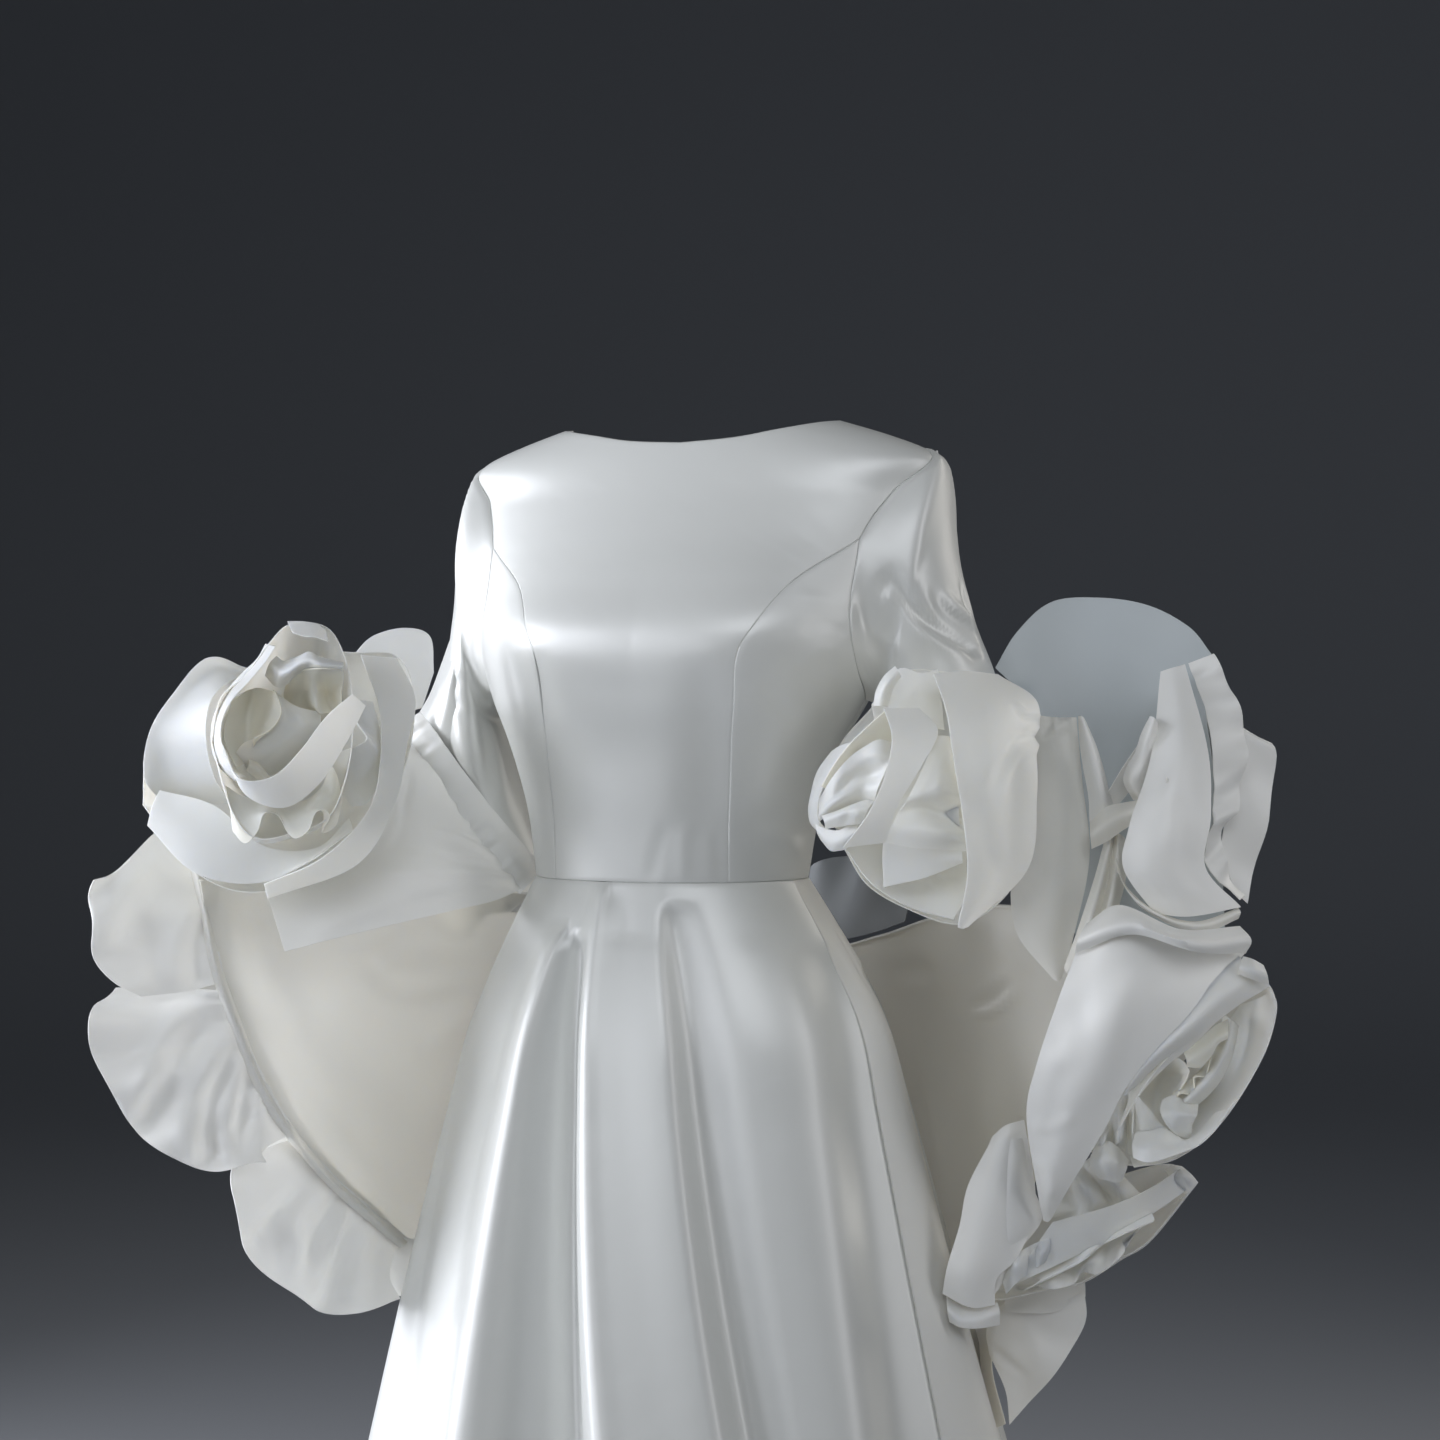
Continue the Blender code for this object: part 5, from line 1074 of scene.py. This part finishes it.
def patch(bottom, right, top, left):
    """The grid of (angle, height) inside four edges that meet at their ends."""
    bottom, right, top, left = (np.asarray(e, float) for e in (bottom, right, top, left))
    u = np.linspace(0.0, 1.0, len(bottom))[None, :, None]
    v = np.linspace(0.0, 1.0, len(left))[:, None, None]
    low = bottom - (1 - u[0]) * bottom[0] - u[0] * bottom[-1]
    high = top - (1 - u[0]) * top[0] - u[0] * top[-1]
    return (1 - u) * left[:, None] + u * right[:, None] + (1 - v) ** EDGE_DIES * low + v ** EDGE_DIES * high


def normals(grid, ring=False):
    if ring:
        around = np.roll(grid, -1, axis=1) - np.roll(grid, 1, axis=1)
    else:
        around = np.gradient(grid, axis=1)
    return unit(np.cross(around, np.gradient(grid, axis=0)))


def outwards(place, angle, height, turn=0.5, rise=0.5):
    """Unit normals of the form that place gives, from points turn degrees and rise mm to each side."""
    around = place(angle + turn, height) - place(angle - turn, height)
    up = place(angle, height + rise) - place(angle, height - rise)
    return unit(np.cross(around, up))


def from_arms(points):
    """Points in the frame of the arms, as points of the dress."""
    points = np.asarray(points, float)
    turn = math.radians(ARMS_TURN)
    across, away, up = points[..., 0], points[..., 1], points[..., 2]
    return np.stack([across * math.cos(turn) - away * math.sin(turn),
                     across * math.sin(turn) + away * math.cos(turn), up], axis=-1)


def loft(edges, along, rows):
    """A grid through the edges, in order, with as many cells along and between them as given."""
    curves = np.array([through(edge, along) for edge in edges])
    return np.stack([through(curves[:, j], rows) for j in range(along + 1)], axis=1)


def cells(length, cell=CELL):
    return max(LEAST_CELLS, int(round(length / cell)))


def cells_round(points):
    """Cells along a line of (angle, height) on the torso."""
    return cells(length_of(torso(through(points, MEASURE_STEPS))))


def spot(grid, u, v):
    """The point of the cloth at this share of its width and of its height."""
    rows, columns = grid.shape[:2]
    x, y = np.clip(u, 0, 1) * (columns - 1), np.clip(v, 0, 1) * (rows - 1)
    j, i = int(min(x, columns - 2)), int(min(y, rows - 2))
    x, y = x - j, y - i
    low = grid[i, j] * (1 - x) + grid[i, j + 1] * x
    return low * (1 - y) + (grid[i + 1, j] * (1 - x) + grid[i + 1, j + 1] * x) * y


def creases(name, grid, out):
    """Moves the cloth in and out along its creases, in place."""
    shift = np.zeros(grid.shape[:2])
    for width, depth, fade, path in CREASES.get(name, ()):
        line = through([spot(grid, u, v) for u, v in path], CREASE_STEPS)
        share = np.linspace(0.0, 1.0, CREASE_STEPS + 1)
        ends = np.ones_like(share)
        if fade in ("both", "start"):
            ends = ends * np.sin(0.5 * math.pi * np.minimum(1.0, share / FADE))
        if fade in ("both", "end"):
            ends = ends * np.sin(0.5 * math.pi * np.minimum(1.0, (1.0 - share) / FADE))
        best = np.full(grid.shape[:2], FAR_OFF)
        force = np.zeros(grid.shape[:2])
        for k in range(CREASE_STEPS):
            a, step = line[k], line[k + 1] - line[k]
            t = np.clip(((grid - a) @ step) / max(step @ step, NEVER_ZERO), 0.0, 1.0)
            gap = np.linalg.norm(grid - a - t[..., None] * step, axis=-1)
            near = gap < best
            best[near] = gap[near]
            force[near] = (ends[k] + (ends[k + 1] - ends[k]) * t)[near]
        form = best / width
        # a ridge dies into a slight hollow beside it, as pushed cloth does
        shift += depth * force * (1.0 - 0.5 * form ** 2) * np.exp(-0.5 * form ** 2)
    grid += shift[..., None] * out


def gathers(name, grid, out):
    """Small uneven folds that fan out from a gathered seam and die away from it, in place."""
    for edge, waves, depth, reach, start in GATHERS.get(name, ()):
        across = 0 if edge in "bt" else 1
        apart = np.cumsum(np.linalg.norm(np.diff(grid, axis=across), axis=-1), axis=across)
        far = np.insert(apart, 0, 0.0, axis=across)
        if edge in "tr":
            far = far.max(axis=across, keepdims=True) - far
        u = np.linspace(0.0, 1.0, grid.shape[1 - across])
        u = (u[None, :] if across == 0 else u[:, None]) + 0.0 * far
        drift = UNEVEN["drift"] * np.sin(UNEVEN["drift_turns"] * u + start)
        turn = 2.0 * math.pi * (waves * u + drift + start)
        wave = np.sin(turn)
        for share, rate, lead in UNEVEN["overtones"]:
            wave = wave + share * np.sin(rate * turn + lead)
        height = UNEVEN["level"] + (1.0 - UNEVEN["level"]) * np.sin(UNEVEN["swell_turns"] * u + 2.0 * start)
        grid += (depth * wave * height * np.exp(-(far / reach) ** UNEVEN["die_away"]))[..., None] * out


def soften(grid, out, amount, size):
    """Slight unevenness of hanging cloth, in place."""
    flat = grid.reshape(-1, 3) / size
    lift = np.array([noise.noise(Vector(p)) for p in flat]).reshape(grid.shape[:2])
    grid += amount * lift[..., None] * out


def turned(grid, out, edges):
    """The cloth with its edges rolled over and turned under: a rounded edge with its allowance behind."""
    for edge in edges:
        if edge in "lr":
            grid, out = grid.swapaxes(0, 1), out.swapaxes(0, 1)
        if edge in "tr":
            grid, out = grid[::-1], out[::-1]
        step = unit(grid[1] - grid[0])
        up = out[0]
        rows = [grid[0] + inside * step - under * up for inside, under in TURNED[::-1]]
        rows += [grid[0] - EDGE_LOW * up, grid[0] + EDGE_ROLL * step]
        ways = [-step for _ in TURNED] + [unit(up - step), up]
        grid = np.concatenate([np.array(rows), grid[1:]])
        out = np.concatenate([np.array(ways), out[1:]])
        if edge in "tr":
            grid, out = grid[::-1], out[::-1]
        if edge in "lr":
            grid, out = grid.swapaxes(0, 1), out.swapaxes(0, 1)
    return grid, out


def linear(text):
    """A display colour such as #f4f3ee as linear light."""
    parts = [int(text[i:i + 2], 16) / 255.0 for i in (1, 3, 5)]
    return [c / 12.92 if c <= 0.04045 else ((c + 0.055) / 1.055) ** 2.4 for c in parts] + [1.0]


def node(tree, kind, links=(), **settings):
    """Adds a node: settings set its properties or its unlinked inputs, links join sockets to its inputs."""
    made = tree.nodes.new(kind)
    for name, value in settings.items():
        if hasattr(made, name):
            setattr(made, name, value)
        else:
            made.inputs[name.replace("_", " ")].default_value = value
    for name, source in links:
        tree.links.new(source, made.inputs[name])
    return made


def satin(name, colour, roughness, warp, glow, ior):
    """Heavy duchesse satin: long smooth floats on the face, so it shines along the warp."""
    material = bpy.data.materials.new(name)
    material.use_nodes = True
    tree = material.node_tree
    shader = tree.nodes["Principled BSDF"]
    for socket, value in {
        "Base Color": linear(colour),
        "Roughness": roughness,
        "Anisotropic": warp,
        "Specular IOR Level": SATIN["shine"],
        "IOR": ior,
        "Sheen Weight": SATIN["sheen"],
        "Sheen Roughness": SATIN["sheen_roughness"],
        "Subsurface Weight": glow,
        "Subsurface Radius": SATIN["glow_spread"],
        "Subsurface Scale": SATIN["glow_depth"] * MM,
    }.items():
        shader.inputs[socket].default_value = value
    place = node(tree, "ShaderNodeUVMap", uv_map="cloth")
    tangent = node(tree, "ShaderNodeTangent", direction_type="UV_MAP", uv_map="cloth")
    tree.links.new(tangent.outputs["Tangent"], shader.inputs["Tangent"])
    # the floats of the weave: a fine grain, much longer along the warp than across it
    threads = node(tree, "ShaderNodeMapping", [("Vector", place.outputs["UV"])],
                   Scale=(1.0 / (SATIN["warp_pitch"] * MM), 1.0 / (SATIN["float_length"] * MM), 1.0))
    floats = node(tree, "ShaderNodeTexNoise", [("Vector", threads.outputs["Vector"])],
                  Scale=1.0, Detail=2.0, Roughness=0.6)
    # the slight cockle that heavy satin has over a few centimetres
    slub = node(tree, "ShaderNodeTexNoise", [("Vector", place.outputs["UV"])],
                Scale=1.0 / (SATIN["cockle_size"] * MM), Detail=1.0)
    weave = node(tree, "ShaderNodeBump", [("Height", floats.outputs["Fac"])],
                 Strength=SATIN["weave_strength"], Distance=SATIN["weave_height"] * MM)
    cockle = node(tree, "ShaderNodeBump",
                  [("Height", slub.outputs["Fac"]), ("Normal", weave.outputs["Normal"])],
                  Strength=SATIN["cockle_strength"], Distance=SATIN["cockle_height"] * MM)
    tree.links.new(cockle.outputs["Normal"], shader.inputs["Normal"])
    return material


def wall_faces(rows, columns, ring):
    """Quads of a wall: its face, its reverse and the edges that join them."""
    half = rows * columns
    last = columns if ring else columns - 1
    i, j = np.meshgrid(np.arange(rows - 1), np.arange(last), indexing="ij")
    i, j = i.ravel(), j.ravel()
    right = (j + 1) % columns
    quads = [np.stack([i * columns + j, i * columns + right,
                       (i + 1) * columns + right, (i + 1) * columns + j], axis=1)]
    quads.append(quads[0][:, [0, 3, 2, 1]] + half)
    k = np.arange(last)
    after = (k + 1) % columns
    top = (rows - 1) * columns
    quads.append(np.stack([k, k + half, after + half, after], axis=1))
    quads.append(np.stack([top + k, top + after, top + after + half, top + k + half], axis=1))
    if not ring:
        r = np.arange(rows - 1) * columns
        end = r + columns - 1
        quads.append(np.stack([r, r + columns, r + columns + half, r + half], axis=1))
        quads.append(np.stack([end, end + half, end + columns + half, end + columns], axis=1))
    return np.concatenate(quads)


def quad_mesh(name, points, faces, uv):
    """A closed mesh of quads with its cloth map, faces outwards, sharp only at the cut edges."""
    mesh = bpy.data.meshes.new(name)
    mesh.vertices.add(len(points))
    mesh.vertices.foreach_set("co", points.astype(np.float32).ravel())
    mesh.loops.add(4 * len(faces))
    mesh.loops.foreach_set("vertex_index", faces.astype(np.int32).ravel())
    mesh.polygons.add(len(faces))
    mesh.polygons.foreach_set("loop_start", np.arange(0, 4 * len(faces), 4, dtype=np.int32))
    mesh.polygons.foreach_set("loop_total", np.full(len(faces), 4, dtype=np.int32))
    mesh.update(calc_edges=True)
    layer = mesh.uv_layers.new(name="cloth")
    layer.data.foreach_set("uv", uv.astype(np.float32).ravel())
    solid = bmesh.new()
    solid.from_mesh(mesh)
    bmesh.ops.recalc_face_normals(solid, faces=solid.faces[:])
    solid.to_mesh(mesh)
    solid.free()
    mesh.shade_smooth()
    mesh.set_sharp_from_angle(angle=math.radians(RIM_ANGLE))
    return mesh


def add(name, data):
    thing = bpy.data.objects.new(name, data)
    bpy.context.scene.collection.objects.link(thing)
    return thing


def runs(face, axis):
    """Metres of cloth from the first row or column of the face to each of its points."""
    steps = np.cumsum(np.linalg.norm(np.diff(face, axis=axis), axis=-1), axis=axis)
    return np.insert(steps, 0, 0.0, axis=axis) * MM


def cloth(name, face, wall, ring=False, inwards=1.0, out=None, edges="", slot="dress_satin", body="outer",
          part_of=None):
    """One piece of cloth: its face and its reverse a wall apart, closed round its edges."""
    if out is None:
        out = normals(face, ring)
    face = face.copy()
    creases(name, face, out)
    gathers(name, face, out)
    if name in SOFT:
        soften(face, out, *SOFT[name])
    face, out = turned(face, out, edges)
    rows, columns = face.shape[:2]
    front = face + (1.0 - inwards) * wall * out
    back = face - inwards * wall * out
    points = np.concatenate([front.reshape(-1, 3), back.reshape(-1, 3)]) * MM
    faces = wall_faces(rows, columns, ring)
    along, up = runs(face, 1), runs(face, 0)
    flat = np.stack([along, up], axis=-1).reshape(-1, 2)
    uv = np.concatenate([flat, flat])[faces].copy()
    if ring:
        # where the ring closes, the map runs on past its end instead of back to its start
        wraps = uv[:, :, 0].max(axis=1) - uv[:, :, 0].min(axis=1) > 0.5 * along.max()
        low = uv[wraps, :, 0] < 0.25 * along.max()
        uv[wraps, :, 0] += low * along.max()
    mesh = quad_mesh(name, points, faces, uv)
    mesh.materials.append(SATINS[SATIN_OF.get(name, body)])
    thing = add(name + "_cloth", mesh)
    corner = face[:-1, :-1]
    area = float(np.sum(np.linalg.norm(np.cross(face[1:, :-1] - corner, face[:-1, 1:] - corner),
                                       axis=-1))) * MM * MM
    PIECES.append((part_of or name, thing, slot, float(along[:, -1].max()), float(up[-1].max()), area))


def panel(name, inside):
    angle, height = inside[..., 0], inside[..., 1]
    cloth(name, on_torso(angle, height), WALL, out=outwards(on_torso, angle, height), edges="btlr")


def bodice():
    """Front, side fronts and backs, each filled in between its seams."""
    seam = through(PRINCESS, cells_round(PRINCESS))
    edge = np.vstack([seam, through(ARMHOLE_TOP, cells_round(ARMHOLE_TOP))[1:]])
    neck_cells = cells_round(NECK_FRONT)
    neck = through(NECK_FRONT, neck_cells)
    neck = np.vstack([np.linspace(ARMHOLE_TOP[-1], neck[0], SHOULDER_CELLS + 1), neck[1:]])
    mirror = np.array([-1.0, 1.0])
    top = np.vstack([neck * mirror, neck[::-1][1:]])
    panel("bodice_front", patch(np.linspace(edge[0] * mirror, edge[0], len(top)), edge, top, edge * mirror))
    low = through(ARMHOLE_LOW, cells_round(ARMHOLE_LOW))
    side = np.linspace((SIDE_SEAM, WAIST), ARMHOLE_LOW[0], len(seam))
    half = patch(np.linspace(seam[0], side[0], len(low)), side, low[::-1], seam)
    outer = np.vstack([side, through(ARMHOLE_BACK, cells_round(ARMHOLE_BACK))[1:]])
    middle = np.linspace((BACK_SEAM, WAIST), NECK_BACK[-1], len(outer))
    nape = np.vstack([np.linspace(ARMHOLE_BACK[-1], NECK_BACK[0], SHOULDER_CELLS + 1),
                      through(NECK_BACK, neck_cells)[1:]])
    rear = patch(np.linspace(outer[0], middle[0], len(nape)), middle, nape, outer)
    for side_name, turn in (("left", 1.0), ("right", -1.0)):
        for name, inside in (("bodice_side_front_", half), ("bodice_back_", rear)):
            way = inside * np.array([turn, 1.0])
            panel(name + side_name, way if turn > 0.0 else way[:, ::-1])


def armhole(turn):
    """Angles and heights of the armhole from the shoulder down its front, under the arm, up its back."""
    front = through(ARMHOLE_TOP, ARMHOLE_CELLS["top"])[::-1]
    low = through(ARMHOLE_LOW, ARMHOLE_CELLS["low"])[::-1]
    back = through(ARMHOLE_BACK, ARMHOLE_CELLS["back"])
    return np.vstack([front, low[1:], back[1:-1]]) * np.array([turn, 1.0])


def sleeves():
    """A tube from each armhole through the sleeve's rings, a little full over the sleeve head."""
    for name, rings in SLEEVES.items():
        turn = 1.0 if name.endswith("left") else -1.0
        first = torso(armhole(turn))
        count = len(first)
        front = ARMHOLE_CELLS["top"] + ARMHOLE_CELLS["low"]
        k = np.arange(count)
        round_arm = np.where(k <= front, math.pi * k / front,
                             math.pi * (1.0 + (k - front) / (count - front)))[:, None]
        coarse = [first]
        for outer_x, outer_z, inner_x, inner_z, centre_y, half_depth in rings:
            outer = np.array([outer_x, centre_y, outer_z], float)
            inner = np.array([inner_x, centre_y, inner_z], float)
            coarse.append((outer + inner) / 2.0 + np.cos(round_arm) * (outer - inner) / 2.0
                          - np.sin(round_arm) * np.array([0.0, half_depth, 0.0]))
        coarse = np.array(coarse)
        rows = cells(length_of(coarse[:, 0]))
        grid = np.stack([through(coarse[:, j], rows) for j in range(count)], axis=1)
        out = turn * normals(grid, ring=True)
        grown = SLEEVE_HEAD["rise"] * np.exp(-np.arange(rows + 1) * CELL / SLEEVE_HEAD["fade"])
        grown[0] = 0.0
        grid += grown[:, None, None] * out * np.maximum(0.0, np.cos(round_arm))[None]
        if turn < 0.0:
            grid, out = grid[:, ::-1], out[:, ::-1]
        cloth(name, grid, WALL, ring=True, out=out, edges="b")


def skirt():
    """The four panels; the side panel's front edge stands out from the front's."""
    fall = np.linspace(0.0, 1.0, SKIRT_ROWS + 1) ** ROW_SPREAD
    heights = WAIST + (HEM - WAIST) * fall
    for name, (first, last, out, under) in SKIRT_PANELS.items():
        count = cells(math.radians(last - first) * SKIRT_GIRTH, SKIRT_CELL)
        low = np.linspace(first, last + under, count + 1)
        angle = np.array([angle_at(low, height) for height in heights])
        height = heights[:, None] + 0.0 * angle
        lift = out * np.cos(0.5 * math.pi * (low - first) / (last - first))
        lift = lift * np.minimum(1.0, fall * STRIP_START)[:, None]
        grid = on_skirt(angle, height, lift)
        # rows run from the hem up, like the rows of the other panels
        cloth(name, grid[::-1], WALL, out=outwards(on_skirt, angle, height, turn=1.0)[::-1], edges="btlr")


def drape():
    """One length of cloth from arm to arm behind the body, in three panels."""
    grid = from_arms(loft(DRAPE, DRAPE_COLUMNS * DRAPE_FINE, cells(DRAPE_DEPTH)))
    out = normals(grid)
    for name, (first, last) in DRAPE_PANELS.items():
        share = slice(first * DRAPE_FINE, last * DRAPE_FINE + 1)
        cloth(name, grid[:, share], WALL, inwards=0.5, out=out[:, share], edges="bt",
              slot="drape_satin", body="inner")


def lay(name, edges, cell, body="petal", part_of=None):
    """Cloth that hangs or curls between its edges, with ripples where it has them."""
    along = cells(max(length_of(through(edge, MEASURE_STEPS)) for edge in edges), cell)
    across = np.array([through(edge, CROSS_STEPS) for edge in edges])
    rows = cells(max(length_of(across[:, j]) for j in range(CROSS_STEPS + 1)), cell)
    grid = loft(edges, along, rows)
    waves, depth = RIPPLES.get(name, (0, 0.0))
    if waves:
        u = np.linspace(0.0, 1.0, along + 1)[None]
        v = np.linspace(0.0, 1.0, rows + 1)[:, None]
        wave = np.sin(2.0 * math.pi * waves * u + RIPPLE_START)
        grid += (depth * v ** RIPPLE_GROWTH * wave)[..., None] * normals(grid)
    if name in TUCKED:
        under = grid[:1] + TUCKED[name] * unit(grid[:1] - grid[1:2]) + np.array([0.0, TUCK_BACK, 0.0])
        grid = np.concatenate([under, grid])
    cloth(name, from_arms(grid), TRIM_WALL, inwards=0.5, slot="petal_satin", body=body, part_of=part_of)


def cup(name, foot, lip):
    """A round of petals joined at the foot of a rose: a bowl with a waved, uneven lip."""
    lip = list(lip) + [lip[0]]
    around = cells(length_of(through(lip, LIP_STEPS)), TRIM_CELL)
    ring = through(lip, around)[:-1]
    middle = ring.mean(axis=0)
    reach = float(np.linalg.norm(ring - np.array(foot), axis=1).max())
    rows = cells(CUP_BULGE * reach, TRIM_CELL)
    share = np.linspace(0.0, 1.0, rows + 1)[:, None]
    spread = CUP_FOOT + (1.0 - CUP_FOOT) * np.sin(0.5 * math.pi * share)
    rise = 1.0 - np.cos(0.5 * math.pi * share)
    grid = np.zeros((rows + 1, around, 3))
    for axis in (0, 2):
        grid[..., axis] = (foot[axis] + (ring[:, axis] - middle[axis]) * spread
                           + (middle[axis] - foot[axis]) * rise)
    grid[..., 1] = foot[1] + (ring[:, 1] - foot[1]) * rise
    cloth(name, from_arms(grid), TRIM_WALL, ring=True, inwards=0.5, slot="petal_satin", body="rose")


def arms_place(across, away, up):
    """A point of the frame of the arms, in metres."""
    return Vector(from_arms([across, away, up])) * MM


def light(name, place, aim, size, spread, power, colour):
    """A soft box turned to its aim; a grid narrows its spread."""
    data = bpy.data.lights.new(name, "AREA")
    data.shape = "RECTANGLE"
    data.size, data.size_y = size
    data.spread = math.radians(spread)
    data.energy = power
    data.color = linear(colour)[:3]
    box = add(name, data)
    box.location = arms_place(*place)
    box.rotation_euler = (arms_place(*aim) - box.location).to_track_quat("-Z", "Y").to_euler()
    return box


def paper_floor():
    """A pale floor of paper that curves up all round."""
    verts, faces = [], []
    rings = through(FLOOR["rings"], FLOOR["steps"])[1:]
    sides = FLOOR["sides"]
    for radius, rise in rings:
        for k in range(sides):
            turn = 2.0 * math.pi * k / sides
            verts.append((radius * math.cos(turn) * MM, radius * math.sin(turn) * MM,
                          (HEM - FLOOR["below"] + rise) * MM))
    for i in range(len(rings) - 1):
        for k in range(sides):
            a, b = i * sides + k, i * sides + (k + 1) % sides
            faces.append((a, a + sides, b + sides, b))
    faces.append(tuple(range(sides)))
    mesh = bpy.data.meshes.new("studio_floor")
    mesh.from_pydata(verts, [], faces)
    mesh.shade_smooth()
    paper = bpy.data.materials.new("studio_paper")
    paper.use_nodes = True
    shader = paper.node_tree.nodes["Principled BSDF"]
    shader.inputs["Base Color"].default_value = linear(FLOOR["colour"])
    shader.inputs["Roughness"].default_value = FLOOR["roughness"]
    mesh.materials.append(paper)
    return add("studio_floor", mesh)


def studio():
    """Soft even light round the dress, with the larger boxes on its right side."""
    floor = paper_floor()
    lamps = [light(*row) for row in LIGHTS]
    world = bpy.data.worlds.new("studio")
    world.use_nodes = True
    air = world.node_tree.nodes["Background"]
    air.inputs["Color"].default_value = linear(AIR["colour"])
    air.inputs["Strength"].default_value = AIR["strength"]
    bpy.context.scene.world = world
    bpy.context.scene.view_settings.view_transform = "Standard"


def camera():
    """The camera faces the plane of the arms from in front."""
    data = bpy.data.cameras.new("camera")
    data.sensor_width = CAMERA["sensor"]
    data.lens = CAMERA["lens"]
    made = add("camera", data)
    made.location = arms_place(*CAMERA["place"])
    made.rotation_euler = (math.radians(90.0), 0.0, math.radians(ARMS_TURN))
    bpy.context.scene.camera = made


SATINS = {key: satin(*row) for key, row in SATIN_KINDS.items()}
bodice()
sleeves()
skirt()
drape()
for name, edges in LAID.items():
    lay(name, edges, TRIM_CELL, "rose" if name.startswith("rose") else "petal")
for name, (foot, lip) in CUPS.items():
    cup(name, foot, lip)
for name, (part, satin_name, edges) in PETALS.items():
    lay(name, edges, PETAL_CELL, satin_name, part)

for name, piece, slot_name, width, length, area in PIECES:
    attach(piece, "root")
    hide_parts(name)

studio()
camera()
